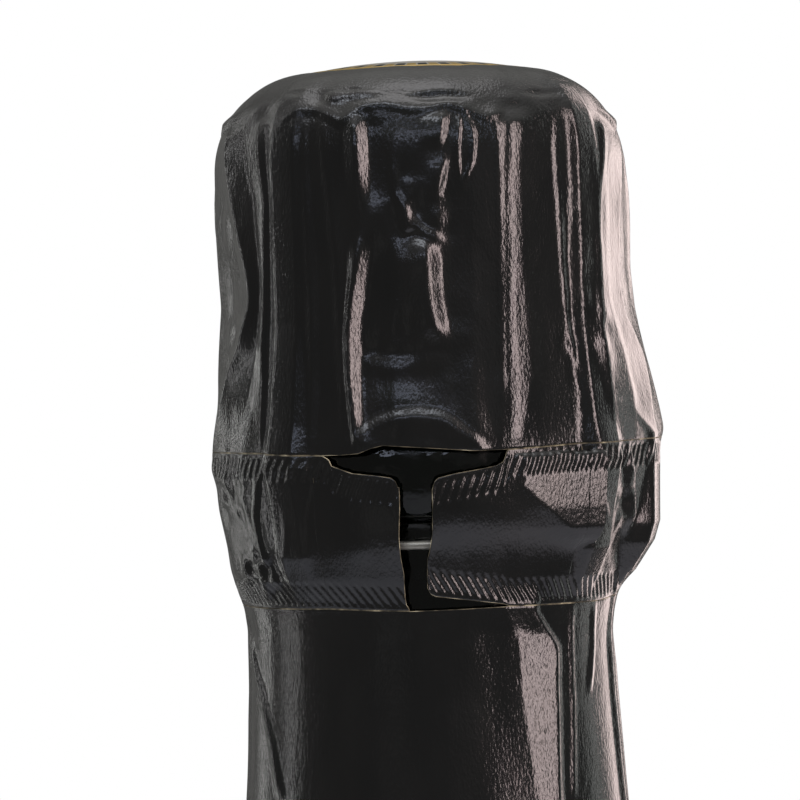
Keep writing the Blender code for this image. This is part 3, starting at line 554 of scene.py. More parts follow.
UPRIGHT_FOLDS = [
    (0.16, 0.6, 0.6, [(392, 158), (394, 190), (405, 212), (407, 234)]),
    (0.26, 2, 0.7, [(442, 114), (438, 146)]),
    (0.26, 2, 0.7, [(443, 158), (436, 196)]),
    (0.56, 3.2, 1.4, [(424, 240), (427, 290), (436, 340)]),
    (0.20, 1, 1.4, [(397, 300), (386, 352)]),
    (0.12, 1.4, 1.2, [(470, 355), (472, 400), (483, 440)]),
    (0.15, 0.3, 0.3, [(459, 120), (457, 150), (460, 180)]),
    (0.15, 0.3, 0.4, [(464, 112), (473, 134), (472, 156), (463, 184)]),
    (0.30, 0.8, 0.6, [(259, 478), (257, 513), (266, 555), (280, 584)]),
    (0.28, 0.7, 0.6, [(291, 495), (294, 544), (291, 576)]),
    (0.35, 0.9, 0.6, [(594, 449), (596, 498), (604, 527)]),
    (0.40, 1.6, 0.7, [(628, 447), (631, 498), (624, 535)]),
    (0.12, 0.6, 0.6, [(572, 606), (573, 700), (574, 798)]),
    (0.18, 0.9, 0.6, [(594, 606), (593, 640), (590, 690)]),
    (0.30, 1.2, 1, [(252, 640), (262, 690), (272, 740), (281, 798)]),
]
LEVEL_FOLDS = [
    (0.17, 1.4, 0.7, [
        (280, 130), (290, 120), (300, 112), (314, 109), (330, 116), (342, 123), (352, 112), (367, 105),
        (385, 103), (407, 109), (428, 108), (447, 103), (466, 109), (485, 117), (500, 112),
    ]),
    (0.18, 0.7, 0.7, [(403, 230), (415, 226), (424, 231), (442, 239)]),
    (-0.18, 1.6, 1.2, [(362, 350), (385, 357), (415, 352)]),
    (0.22, 1, 1.8, [
        (352, 446), (363, 434), (379, 424), (398, 419), (420, 417), (443, 420), (466, 434), (485, 450),
    ]),
    (0.35, 1.5, 1.2, [(290, 580), (325, 556), (398, 541)]),
    (0.25, 0.5, 0.5, [(238, 574), (252, 560), (270, 562), (284, 578)]),
]
DENTS = [  # (middle pixel, half width, half height, depth), in pixels and millimetres
    ((589, 272), 8, 42, 0.30),
    ((582, 168), 7, 26, 0.24),
    ((594, 388), 7, 14, 0.34),
    ((385, 345), 16, 14, 0.12),
    ((440, 96), 34, 8, 0.26),
    ((352, 90), 30, 4, 0.16),
    ((300, 96), 14, 6, 0.14),
    ((545, 93), 26, 6, 0.10),
    ((415, 208), 9, 12, 0.12),
]
CRUMPLED = [  # (middle pixel, half width, half height, amplitude, cell size in millimetres)
    ((585, 335), 24, 70, 0.20, 1.3),
    ((578, 250), 14, 60, 0.12, 1.5),
    ((420, 220), 34, 50, 0.22, 1.3),
    ((420, 350), 60, 60, 0.12, 1.8),
    ((345, 95), 60, 12, 0.28, 1.5),
    ((275, 108), 34, 16, 0.22, 1.7),
    ((530, 95), 50, 12, 0.10, 1.6),
    ((232, 300), 22, 180, 0.12, 2.2),
    ((228, 490), 22, 45, 0.28, 1.3),
    ((262, 575), 34, 26, 0.36, 1.1),
    ((625, 500), 36, 70, 0.25, 1.5),
]


def lattice_noise(angle, height, cell, seed):
    """Smooth noise from -1 to 1 on the unrolled foil, which joins up all the way round."""
    columns = max(4, round(FULL_TURN * MEAN_RADIUS / cell))
    values = np.random.default_rng(seed).uniform(-1, 1, (NOISE_ROWS, columns))
    across = (angle / FULL_TURN) % 1 * columns
    down = (height / cell) % NOISE_ROWS
    left = np.floor(across).astype(int)
    top = np.floor(down).astype(int)
    u = smooth_step(across - left)
    corners = [values[(top + i) % NOISE_ROWS, (left + j) % columns] for i in (0, 1) for j in (0, 1)]
    upper = corners[0] + (corners[1] - corners[0]) * u
    lower = corners[2] + (corners[3] - corners[2]) * u
    return upper + (lower - upper) * smooth_step(down - top)


def within(value, start, start_reach, end, end_reach):
    """1 well between a start and an end, and 0 outside them."""
    return rise(value, start, start_reach) * fall(value, end, end_reach)


def flank(distance, near, far):
    """1 on a fold's line, and 0 past its flanks, which are nearly straight."""
    share = np.clip(1 - np.where(distance < 0, -distance / near, distance / far), 0, 1)
    return share + FLANK_ROUNDING * (smooth_step(share) - share)


def upright_fold(angle, height, line, tall, left, right):
    heights, angles = line
    away = turn_between(angle, np.interp(height, heights, angles)) * MEAN_RADIUS
    length = heights[-1] - heights[0]
    taper = min(FOLD_END, length / 2) if length < LONG_FOLD else LONG_TAPER * length
    inset = FOLD_INSET * taper
    ends = within(height, heights[0] - inset, taper, heights[-1] + inset, taper)
    return tall * ends * flank(away, left, right)


def level_fold(angle, height, line, tall, above, below):
    angles, levels = line
    end = LEVEL_FOLD_END
    ends = within(angle, angles[0] - end, 2 * end, angles[-1] + end, 2 * end)
    return tall * ends * flank(np.interp(angle, angles, levels) - height, above, below)


def hidden_pleats():
    """Pleat lines round the sides and back, which the photograph doesn't show, much like those in front."""
    draw = np.random.default_rng(11)
    lines = []
    angle = 93 * DEGREE
    heights = np.linspace(288, 316, HIDDEN_ROWS)
    while angle < 267 * DEGREE:
        sway = np.cumsum(draw.uniform(-1, 1, HIDDEN_ROWS)) * SWAY / MEAN_RADIUS
        crest = draw.uniform(0.3, 0.6) * np.array((0.6, 1, 1, 1, 1, 0.5))
        reach = draw.uniform(1.2, 2.6) * DEGREE
        foot = draw.uniform(-0.3, -0.05)
        lines.append((heights, angle + sway, crest))
        lines.append((heights, angle + sway + 2 * reach, np.full(HIDDEN_ROWS, foot)))
        angle += 2 * reach + draw.uniform(4.5, 9) * DEGREE
    return lines


def skirt_folds():
    """Long shallow folds down the neck, all the way round."""
    draw = np.random.default_rng(23)
    folds = []
    angle = 75 * DEGREE
    while angle < 290 * DEGREE:
        heights = np.linspace(draw.uniform(225, 250), FOLD_TOP, SKIRT_ROWS)
        sway = np.cumsum(draw.uniform(-1, 1, SKIRT_ROWS)) * SWAY / MEAN_RADIUS
        tall = draw.uniform(0.15, 0.35)
        left = draw.uniform(0.8, 1.8)
        right = draw.uniform(0.8, 1.8)
        folds.append((tall, left, right, (heights, angle + sway)))
        angle += draw.uniform(14, 24) * DEGREE
    return folds


def pleat_line(line):
    """A pleat line's heights, angles and how far it stands off, from its pixels."""
    heights, angles, stands = zip(*sorted((*find_pixel(x, y)[::-1], stand) for x, y, stand in line))
    return *rounded(heights, angles), rounded(heights, stands)[1]


def pleat_lines():
    """All the pleat lines in order round the hood, each as its heights, angles and how far it stands off."""
    level = np.array((280.0, 316.0))
    edges = (-SEEN_EDGE, SEEN_EDGE, FULL_TURN - SEEN_EDGE)
    plain = [(level, np.full(2, angle), np.zeros(2)) for angle in edges]
    return [plain[0], *map(pleat_line, PLEATS), plain[1], *hidden_pleats(), plain[2]]


def pleated(angle, height, lines):
    """How far flat panels between the pleat lines stand off the plain foil."""
    turned = (angle + SEEN_EDGE) % FULL_TURN - SEEN_EDGE
    level = np.minimum(height, CROWN_FOOT)
    base = side_radius(turned, level)
    corners = []
    last = np.full_like(turned, -np.inf)
    for heights, angles, stands in lines:
        last = np.maximum(np.interp(height, heights, angles), last + PLEAT_APART)
        corners.append((last, side_radius(last, level) + np.interp(height, heights, stands)))
    lift = np.zeros_like(base)
    for (start, first), (end, second) in zip(corners, corners[1:]):
        inside = (turned >= start) & (turned < end)
        reach = first * np.sin(turned - start) + second * np.sin(end - turned)
        chord = first * second * np.sin(end - start) / np.where(inside, reach, 1)
        lift = np.where(inside, chord - base, lift)
    return lift


def rounded_pleats(angle, height, lines):
    """The flat panels between pleat lines, rounded a little at the lines."""
    lift = np.zeros_like(angle)
    for step, weight in zip(range(-2, 3), (1, 4, 6, 4, 1)):
        lift += weight / 16 * pleated(angle + step * PLEAT_ROUNDING, height, lines)
    return lift


def skirt_relief(angle, height):
    """The skirt's flat panels, which fade out down the neck."""
    return rounded_pleats(angle, height, SKIRT_LINES) * within(height, *SKIRT_PANELS)


def pleat_relief(angle, height):
    """The hood's pleated panels, which end under the crown and in the strip."""
    lift = rounded_pleats(angle, height, HOOD_LINES)
    in_strip = IN_STRIP + IN_STRIP_ASIDE * rise(from_front(angle), *STRIP_ASIDE)
    share = in_strip * rise(height, *PLEAT_FOOT) + (1 - in_strip) * rise(height, *PLEAT_LOWER)
    return lift * fall(height, *PLEAT_TOP) * share


HOOD_LINES = pleat_lines()
SKIRT_LINES = [pleat_line(line) for line in SKIRT_PLEATS]
UPRIGHT_LINES = [(*sizes, rounded(*upright_line(pixels))) for *sizes, pixels in UPRIGHT_FOLDS]
UPRIGHT_LINES += skirt_folds()
LEVEL_LINES = [(*sizes, smooth_level(pixels)) for *sizes, pixels in LEVEL_FOLDS]
DENT_SPOTS = [(*find_pixel(*middle), *rest) for middle, *rest in DENTS]
CRUMPLE_SPOTS = [(*find_pixel(*middle), *rest) for middle, *rest in CRUMPLED]


def brow_crease(angle, height):
    """The scalloped edge where the crown turns down into the folds, round the sides and back."""
    line = BROW_CREASE + BROW_SCALLOP * np.abs(np.sin(BROW_SCALLOPS * angle))
    line += BROW_UNEVEN * lattice_noise(angle, 0 * height, cell=6, seed=5)
    return BROW_DEPTH * rise(from_front(angle), *UNSEEN) * flank(line - height, 1.3, 0.45)


def beside(angle, middle, half_width):
    """How far the foil falls away beside a wire under it."""
    away = np.abs(turn_between(angle, middle)) * MEAN_RADIUS
    over = np.clip(away - half_width, 0, None)
    return WIRE_SLOPE * (np.hypot(over, WIRE_ROUNDING) - WIRE_ROUNDING)


def tent(angle, height):
    """The flat stretch of the strip from the glass ring to the front right leg."""
    leg = LEG_ANGLES[2] - LEG_HALF_WIDTH / MEAN_RADIUS
    turn = turn_between(angle, TENT_FACING)
    flat = np.interp(height, *zip(*TENT_REACH), 0, 0) * math.cos(leg - TENT_FACING) / np.cos(turn)
    flat -= TENT_SLOPE * np.clip((286 - height) / 5.5 - turn / (22 * DEGREE), 0, None)
    front_turn = turn_between(angle, FRONT_FACING)
    front = side_radius(0 * angle, height) * math.cos(FRONT_FACING) / np.cos(front_turn)
    inside = (angle > 0) & (angle < leg)
    return np.where(inside, np.minimum(flat, front), 0) * fall(height, *TENT_TOP)


def wire_cover(angle, height):
    """How far out the foil has to be to cover the wires under it."""
    cover = tent(angle, height)
    reach = np.interp(height, *zip(*LEG_REACH), 0, 0)
    for leg in LEG_ANGLES:
        cover = np.maximum(cover, reach - beside(angle, leg, LEG_HALF_WIDTH))
    reach = np.interp(height, *zip(*LOOP_REACH), 0, 0)
    half_width = np.interp(height, (290.3, 292.5), (1.5, 4.4))
    return np.maximum(cover, reach - beside(angle, LOOP_ANGLE, half_width))


def crown_cover(angle, height):
    """The low swellings where the crown passes over the bends of the wires."""
    away = np.min([np.abs(turn_between(angle, leg)) for leg in LEG_ANGLES], axis=0) * MEAN_RADIUS
    return SWELLING * fall(away, *LEG_SWELLING) * within(height, *CROWN_SWELLING)


def spot_distance(angle, height, middle, level, wide, high):
    """How far from an oval's middle a place on the foil is, as a share of the way to the oval's edge."""
    spot_width = wide / PIXELS_PER_MM / max(0.35, math.cos(middle))
    across = turn_between(angle, middle) * MEAN_RADIUS / spot_width
    return np.hypot(across, (height - level) * PIXELS_PER_MM / high)


def relief(angle, height):
    """How far the folded foil stands off the plain one."""
    lift = pleat_relief(angle, height) + skirt_relief(angle, height)
    for tall, left, right, line in UPRIGHT_LINES:
        lift += upright_fold(angle, height, line, tall, left, right)
    for tall, above, below, line in LEVEL_LINES:
        lift += level_fold(angle, height, line, tall, above, below)
    for number, (*oval, depth, cell) in enumerate(CRUMPLE_SPOTS):
        share = smooth_step(1.3 - spot_distance(angle, height, *oval))
        lift += depth * share * lattice_noise(angle, height, cell, FIRST_CRUMPLE_SEED + number)
    for *oval, depth in DENT_SPOTS:
        lift -= depth * smooth_step(1.25 - spot_distance(angle, height, *oval))
    lift += brow_crease(angle, height) + crown_cover(angle, height)
    upper = rise(height, *UPPER_FOIL)
    uneven = 0.05 + 0.1 * rise(from_front(angle), *ASIDE) * fall(height, *BROW)
    lift += uneven * upper * lattice_noise(angle, height / 2.2, cell=2.6, seed=71)
    lift += 0.018 * upper * lattice_noise(angle, height / 1.5, cell=1.1, seed=72)
    lift += 0.05 * rise(height, *LOWER_FOIL) * lattice_noise(angle, height / 5, cell=5, seed=73)
    base = side_radius(angle, np.minimum(height, CROWN_FOOT))
    sag = np.interp(turn_between(angle, 0) / DEGREE, *zip(*SAG)) * within(height, *SAG_STRETCH)
    lift += side_radius(angle, height + sag) - side_radius(angle, height)
    short = wire_cover(angle, height) - base - lift
    rounding = np.log1p(np.exp(-COVER_SHARPNESS * np.abs(short))) / COVER_SHARPNESS
    return lift + np.clip(short, 0, None) + rounding


# The lines that the foil tears along

upper_line = round_line(HOOD_EDGE, TEAR_TOP)
band_line = round_line(BAND_EDGE, TEAR_TOP)
tab_line = round_line(TAB_EDGE, TEAR_TOP)
lower_line = round_line(LOWER_LINE, TEAR_FOOT)
tab_foot_line = round_line(TAB_FOOT, TEAR_FOOT)
band_end = upright_line(BAND_END)
tab_start = upright_line(TAB_START)


# Meshes

def add_mesh(name, vertices, faces):
    """A new smooth object of a mesh given in millimetres."""
    mesh = bpy.data.meshes.new(name)
    mesh.from_pydata([tuple(v) for v in np.asarray(vertices) * MM], [], faces)
    mesh.validate()
    for polygon in mesh.polygons:
        polygon.use_smooth = True
    made = bpy.data.objects.new(name, mesh)
    bpy.context.scene.collection.objects.link(made)
    return made


def grid_faces(rows, columns, first, closed, flip):
    faces = []
    for row in range(rows - 1):
        for column in range(columns if closed else columns - 1):
            a = first + row * columns + column
            b = first + row * columns + (column + 1) % columns
            corners = (a, b, b + columns, a + columns)
            faces.append(corners if flip else corners[::-1])
    return faces


def spaced_rows(heights):
    """The rows of a closed sheet that its plainer inside keeps, INSIDE_STEP apart, and its last one."""
    falls = (heights[0] - heights).mean(axis=1)
    kept = [0]
    for row in range(1, len(falls)):
        if falls[row] - falls[kept[-1]] > INSIDE_STEP or row == len(falls) - 1:
            kept.append(row)
    return kept


def sheet_object(name, angles, heights, closed, grooves=0.0):
    """A closed thin shell of foil over a grid of angles and heights, whose rows run downwards.

    Its rim has a narrow chamfer that shows the foil's cut edge. Where it goes all the way round, its inside
    is plainer and stays clear of the folds outside.
    """
    lift = relief(angles, heights) + grooves
    rows, columns = angles.shape
    rim_angles = angles.copy()
    rim_heights = heights.copy()
    rim_heights[0] += CUT_EDGE
    rim_heights[-1] -= CUT_EDGE
    kept = list(range(rows))
    inner_lift = lift
    if closed:
        kept = spaced_rows(heights)
        near = INSIDE_REACH
        inner_lift = np.array([lift[max(0, row - near):row + near + 1].min(axis=0) for row in kept])
        inner_lift[0] = lift[0]
        inner_lift[-1] = lift[-1]
    else:
        rim_angles[:, 0] -= CUT_EDGE / MEAN_RADIUS
        rim_angles[:, -1] += CUT_EDGE / MEAN_RADIUS
    rim = foil_point(rim_angles, rim_heights, lift - RIM_CHAMFER * CUT_EDGE)
    inner = foil_point(rim_angles[kept], rim_heights[kept], inner_lift - FOIL_SHEET)
    vertices = [foil_point(angles, heights, lift).reshape(-1, 3), inner.reshape(-1, 3)]
    count = rows * columns
    faces = grid_faces(rows, columns, 0, closed, flip=False)
    outer_faces = len(faces)
    faces += grid_faces(len(kept), columns, count, closed, flip=True)
    sheet_faces = len(faces)

    top = [(0, column) for column in range(columns)]
    foot = [(rows - 1, column) for column in reversed(range(columns))]
    down = [(row, columns - 1) for row in range(1, rows - 1)]
    up = [(row, 0) for row in range(rows - 2, 0, -1)]
    inner_row = {row: place for place, row in enumerate(kept)}
    first = count + len(kept) * columns
    for loop in [top, foot] if closed else [top + down + foot + up]:
        vertices.append(np.array([rim[spot] for spot in loop]))
        for place, ((row, column), (next_row, next_column)) in enumerate(zip(loop, loop[1:] + loop[:1])):
            following = first + (place + 1) % len(loop)
            outside = (row * columns + column, next_row * columns + next_column)
            inside = [
                count + inner_row[r] * columns + c for r, c in ((next_row, next_column), (row, column))
            ]
            faces.append((*outside, following, first + place))
            faces.append((first + place, following, *inside))
        first += len(loop)
    made = add_mesh(name, np.concatenate(vertices), faces)
    slots = np.ones(len(faces), np.int32)
    slots[:outer_faces] = 0
    slots[outer_faces:sheet_faces] = 2
    made.data.polygons.foreach_set("material_index", slots)
    made.data.set_sharp_from_angle(angle=FOIL_CORNER)
    return made


def round_columns(front_count, back_count):
    """Angles all the way round, closer together in front."""
    front = np.linspace(-FRONT_REACH, FRONT_REACH, front_count)
    back = np.linspace(FRONT_REACH, FULL_TURN - FRONT_REACH, back_count + 2)[1:-1]
    return np.concatenate((front, back))


def hatch(angle, from_edge, lean):
    """Slanting grooves in a band along an edge of the tear strip."""
    across = angle * MEAN_RADIUS + lean * from_edge
    groove = 0.5 + 0.5 * np.cos(FULL_TURN * across / HATCH_PITCH)
    return -HATCH_DEPTH * within(from_edge, *HATCH_STRETCH) * groove**HATCH_SHARPNESS


def lathe(name, outline, segments=128):
    """A turned piece: (radius, height) points spun round the bottle's axis, on which it starts and ends."""
    vertices = []
    faces = []
    rings = []
    turns = [FULL_TURN * k / segments for k in range(segments)]
    for radius, height in outline:
        spots = [(radius * math.cos(turn), radius * math.sin(turn), height) for turn in turns]
        if radius < ON_AXIS:
            spots = [(0, 0, height)]
        rings.append(range(len(vertices), len(vertices) + len(spots)))
        vertices += spots
    for upper, lower in zip(rings, rings[1:]):
        for k in range(segments):
            following = (k + 1) % segments
            if len(upper) == 1:
                faces.append((upper[0], lower[k], lower[following]))
            elif len(lower) == 1:
                faces.append((upper[k], lower[0], upper[following]))
            else:
                faces.append((upper[k], lower[k], lower[following], upper[following]))
    made = add_mesh(name, vertices, faces)
    made.data.set_sharp_from_angle(angle=TURNED_CORNER)
    return made


# Materials

def connect(tree, node, inputs):
    """Sets a node's inputs, by name or number. A value that is another node's output is linked in."""
    for key, value in inputs.items():
        if isinstance(value, bpy.types.NodeSocket):
            tree.links.new(value, node.inputs[key])
        elif value is not None:
            node.inputs[key].default_value = value


def add_node(tree, kind, *places, **values):
    """A shader node with its properties, and its inputs in order or under their names with _ for a space."""
    node = tree.nodes.new("ShaderNode" + kind)
    inputs = dict(enumerate(places))
    for key, value in values.items():
        if hasattr(node, key):
            setattr(node, key, value)
        else:
            inputs[key.replace("_", " ")] = value
    connect(tree, node, inputs)
    return node


def arithmetic(tree, operation, *values):
    return add_node(tree, "Math", *values, operation=operation).outputs[0]


def object_place(tree):
    return add_node(tree, "TexCoord").outputs["Object"]


def object_axes(tree):
    return add_node(tree, "SeparateXYZ", object_place(tree)).outputs


def object_noise(tree, scale, stretch=(1, 1, 1), detail=2.0):
    """Noise in the object's own space, with about scale grains to the metre."""
    place = add_node(tree, "Mapping", Vector=object_place(tree), Scale=stretch).outputs["Vector"]
    return add_node(tree, "TexNoise", Vector=place, Scale=scale, Detail=detail).outputs["Fac"]


def ramp(tree, value, stops):
    """A colour ramp through (position, colour) stops."""
    node = add_node(tree, "ValToRGB", value)
    elements = node.color_ramp.elements
    for element, (position, colour) in zip(elements, (stops[0], stops[-1])):
        element.position = position
        element.color = (*colour, 1)
    for position, colour in stops[1:-1]:
        elements.new(position).color = (*colour, 1)
    return node.outputs["Color"]


def map_range(tree, value, low, high, from_low=0.3, from_high=0.7):
    return add_node(tree, "MapRange", value, from_low, from_high, low, high).outputs["Result"]


def add_bump(tree, value, strength, distance, normal=None):
    bump = add_node(tree, "Bump", Height=value, Strength=strength, Distance=distance, Normal=normal)
    return bump.outputs["Normal"]


def new_material(name):
    made = bpy.data.materials.new(name)
    made.use_nodes = True
    return made, made.node_tree


def finished(made, **inputs):
    """The material, with its main shader's inputs set or linked."""
    shader = made.node_tree.nodes["Principled BSDF"]
    connect(made.node_tree, shader, {key.replace("_", " "): value for key, value in inputs.items()})
    return made


def noise_finish(name, noise, stops, rough=None, bump=None, **inputs):
    """A finish from one noise: its colours, and its roughness and bump where they are given."""
    made, tree = new_material(name)
    value = object_noise(tree, *noise)
    if rough is not None:
        inputs["Roughness"] = map_range(tree, value, *rough)
    if bump is not None:
        inputs["Normal"] = add_bump(tree, value, *bump)
    return finished(made, Base_Color=ramp(tree, value, stops), **inputs)


def foil_finish():
    """Gloss black lacquer on foil, with its fine grain."""
    made, tree = new_material("black_foil")
    grain = object_noise(tree, 5600, (1, 1, 0.45))
    peel = object_noise(tree, 1500, (1, 1, 0.5))
    crown = map_range(tree, object_axes(tree)["Z"], 0.55, 1.0, CROWN_GRAIN_FOOT, CROWN_GRAIN_TOP)
    normal = add_bump(tree, grain, crown, 0.00005, add_bump(tree, peel, 0.35, 0.00006))
    cloud = object_noise(tree, 260, (1, 1, 0.4), 3)
    return finished(
        made, Metallic=1.0, Coat_Weight=1.0, Coat_Roughness=0.11, Normal=normal, Coat_Normal=normal,
        Base_Color=ramp(tree, cloud, [(0.3, (0.046, 0.046, 0.049)), (0.7, (0.060, 0.058, 0.060))]),
        Roughness=map_range(tree, cloud, 0.17, 0.25),
    )


def cut_edge_finish():
    """The edge where the laminated foil is cut, cream in its own colour; noise turns most of it dark as
    painted shade and leaves pale spots as painted glints.
    """
    # The dark stop is painted shade along the edge and the pale stops are painted glints; only the cream is
    # the laminate's own colour.
    stops = [(0.4, (0.06, 0.05, 0.03)), (0.56, (0.34, 0.28, 0.18)), (0.68, (0.80, 0.70, 0.48))]
    return noise_finish("foil_cut_edge", (900,), stops, Roughness=0.5)


def foil_inside_finish():
    """The bare silvery inside of the foil."""
    stops = [(0.3, (0.52, 0.50, 0.46)), (0.7, (0.7, 0.68, 0.64))]
    noise = (1100, (1, 1, 0.5), 3)
    return noise_finish("foil_inside", noise, stops, (0.3, 0.45), (0.5, 0.00008), Metallic=0.9)


def glass_finish():
    """Dark green bottle glass, with the smears that the wine and the wire leave on the neck."""
    made, tree = new_material("dark_green_glass")
    waves = object_noise(tree, 60, (1, 1, 0.6), 2)
    smear = object_noise(tree, 420, (1, 1, 0.7), 4)
    ripples = object_noise(tree, 330, (1, 1, 1.6), 3)
    level = object_axes(tree)["Z"]
    rippled = map_range(tree, level, 0.0, 0.5, NECK_SMEAR_FOOT, NECK_SMEAR_TOP)
    smeared = map_range(tree, level, 0.0, 1.0, NECK_SMEAR_FOOT, NECK_SMEAR_TOP)
    smears = map_range(tree, smear, 0.0, 0.25, 0.5, 0.65)
    return finished(
        made, IOR=1.52, Transmission_Weight=0.9,
        Base_Color=ramp(tree, waves, [(0.3, (0.003, 0.007, 0.004)), (0.7, (0.004, 0.009, 0.006))]),
        Roughness=arithmetic(tree, "MULTIPLY_ADD", smears, smeared, 0.05),
        Normal=add_bump(tree, ripples, rippled, 0.0003, add_bump(tree, waves, 0.08, 0.0003)),
    )


def wine_finish():
    stops = [(0.3, (0.86, 0.74, 0.38)), (0.7, (0.9, 0.78, 0.42))]
    return noise_finish("pale_wine", (25,), stops, IOR=1.34, Transmission_Weight=1.0, Roughness=0.0)


def granule_finish():
    """Pressed cork granules."""
    made, tree = new_material("cork_granules")
    place = object_place(tree)
    cells = add_node(tree, "TexVoronoi", Vector=place, Scale=520).outputs["Color"]
    edges = add_node(tree, "TexVoronoi", feature="DISTANCE_TO_EDGE", Vector=place, Scale=520)
    tone = add_node(tree, "SeparateColor", cells).outputs["Red"]
    stops = [(0.0, (0.30, 0.17, 0.085)), (0.5, (0.52, 0.33, 0.18)), (1.0, (0.68, 0.47, 0.28))]
    return finished(
        made, Roughness=0.8, Base_Color=ramp(tree, tone, stops),
        Normal=add_bump(tree, edges.outputs["Distance"], 0.5, 0.0004),
    )


def natural_cork_finish():
    """Sliced cork, with its dark pores."""
    stops = [(0.32, (0.22, 0.12, 0.06)), (0.42, (0.60, 0.41, 0.25)), (0.7, (0.72, 0.53, 0.34))]
    noise = (700, (1, 0.25, 1), 4)
    return noise_finish("natural_cork", noise, stops, bump=(0.4, 0.0003), Roughness=0.75)


def tinplate_finish():
    """Black lacquered tinplate, worn a little in random patches."""
    stops = [(0.55, (0.035, 0.035, 0.04)), (0.75, (0.16, 0.15, 0.14))]
    return noise_finish(
        "lacquered_tinplate", (500, (1, 1, 1), 4), stops, (0.25, 0.4),
        Metallic=0.7, Coat_Weight=0.6, Coat_Roughness=0.12,
    )


def wire_finish():
    """Galvanised steel wire."""
    stops = [(0.3, (0.50, 0.47, 0.42)), (0.7, (0.72, 0.69, 0.63))]
    noise = (1600, (1, 1, 1), 3)
    return noise_finish("galvanised_wire", noise, stops, (0.32, 0.5), (0.2, 0.00004), Metallic=0.75)


def badge_finish():
    """Cream satin foil with a gold rim and a ring of dark and gold dashes."""
    made, tree = new_material("badge_print")
    axes = object_axes(tree)
    x, y = axes["X"], axes["Y"]
    squares = arithmetic(tree, "ADD", arithmetic(tree, "MULTIPLY", x, x), arithmetic(tree, "MULTIPLY", y, y))
    radius = arithmetic(tree, "SQRT", squares)
    angle = arithmetic(tree, "ARCTAN2", y, x)
    swing = arithmetic(tree, "SINE", arithmetic(tree, "MULTIPLY", angle, BADGE_DASHES))
    share = arithmetic(tree, "MULTIPLY", radius, 1 / (BADGE_RADIUS * MM))
    dark = (0.012, 0.012, 0.013)
    cream = (0.62, 0.60, 0.54)
    pale = (0.66, 0.64, 0.58)
    gold = (0.52, 0.36, 0.10)
    ring_gold = (0.50, 0.35, 0.11)
    rim_gold = (0.55, 0.39, 0.13)
    dashes = ramp(tree, arithmetic(tree, "MULTIPLY_ADD", swing, 0.5, 0.5), [
        (0.0, dark), (0.36, dark), (0.38, cream), (0.62, cream), (0.64, gold), (1.0, gold),
    ])
    field = ramp(tree, share, [
        (0.0, pale), (0.40, pale), (0.41, ring_gold), (0.43, ring_gold),
        (0.44, pale), (0.975, cream), (0.98, rim_gold), (1.0, rim_gold),
    ])
    past_field = arithmetic(tree, "GREATER_THAN", share, 0.80)
    in_ring = arithmetic(tree, "MULTIPLY", past_field, arithmetic(tree, "LESS_THAN", share, 0.96))
    mix = add_node(tree, "Mix", data_type="RGBA", Factor=in_ring, A=field, B=dashes)
    satin = object_noise(tree, 3000)
    return finished(
        made, Metallic=0.35, Base_Color=mix.outputs["Result"], Roughness=map_range(tree, satin, 0.28, 0.42),
        Normal=add_bump(tree, satin, 0.15, 0.00002),
    )


# Pieces

def dress(made, body, slot_name, finishes, *nodes):
    """Gives a piece its materials, its body and the nodes that it stands for, which it hides. Its slot name
    is not used.
    """
    for finish in finishes:
        made.data.materials.append(finish)
    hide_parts(*nodes)
    if body is not None:
        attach(made, body)
    return made


def make_round_sheet(name, node, body, columns, top, foot, shares, finishes):
    """A foil sheet all the way round, from a top to a foot height."""
    heights = top + (foot - top) * shares[:, None]
    angles = np.repeat(columns[None, :], len(shares), axis=0)
    dress(sheet_object(name, angles, heights, True), body, "foil", finishes, node)


def make_hood(finishes):
    columns = round_columns(front_count=390, back_count=90)
    top = CROWN_FOOT + CROWN_MEAN_RADIUS * HALF_TURN / 2
    foot = upper_line(columns) + TEAR_GAP / 2
    make_round_sheet("hood_foil", "foil_hood", "hood", columns, top, foot, np.linspace(0, 1, 186), finishes)


def make_skirt(finishes):
    columns = round_columns(front_count=330, back_count=110)
    top = lower_line(columns) - TEAR_GAP / 2
    shares = np.concatenate((np.linspace(0, 17, 90), np.linspace(17.5, SKIRT_DROP, 40))) / SKIRT_DROP
    make_round_sheet("neck_foil", "foil_skirt", "bottle", columns, top, FOIL_FOOT, shares, finishes)


def strip_piece(name, node, body, start, end, lines, finishes, start_edge=None, end_edge=None):
    """A stretch of the tear strip between two angles or upright edges, with its hatched bands."""
    count = max(30, round((end - start) * MEAN_RADIUS / STRIP_CELL))
    across = np.linspace(0, 1, count)[None, :]
    bands = np.linspace(0, HATCH_REACH, 17)
    middle = np.linspace(HATCH_REACH, STRIP_DROP - HATCH_REACH, 36)[1:-1]
    down = (np.concatenate((bands, middle, STRIP_DROP - bands[::-1])) / STRIP_DROP)[:, None]
    level = TEAR_TOP - STRIP_DROP * down
    first = start if start_edge is None else np.interp(level, *start_edge)
    last = end if end_edge is None else np.interp(level, *end_edge)
    angles = first + (last - first) * across + 0 * down
    top = lines[0](angles) - TEAR_GAP / 2
    foot = lines[1](angles) + TEAR_GAP / 2
    heights = top + (foot - top) * down
    grooves = hatch(angles, top - heights, UPPER_LEAN) + hatch(angles, heights - foot, LOWER_LEAN)
    return dress(sheet_object(name, angles, heights, False, grooves), body, "foil", finishes, node)


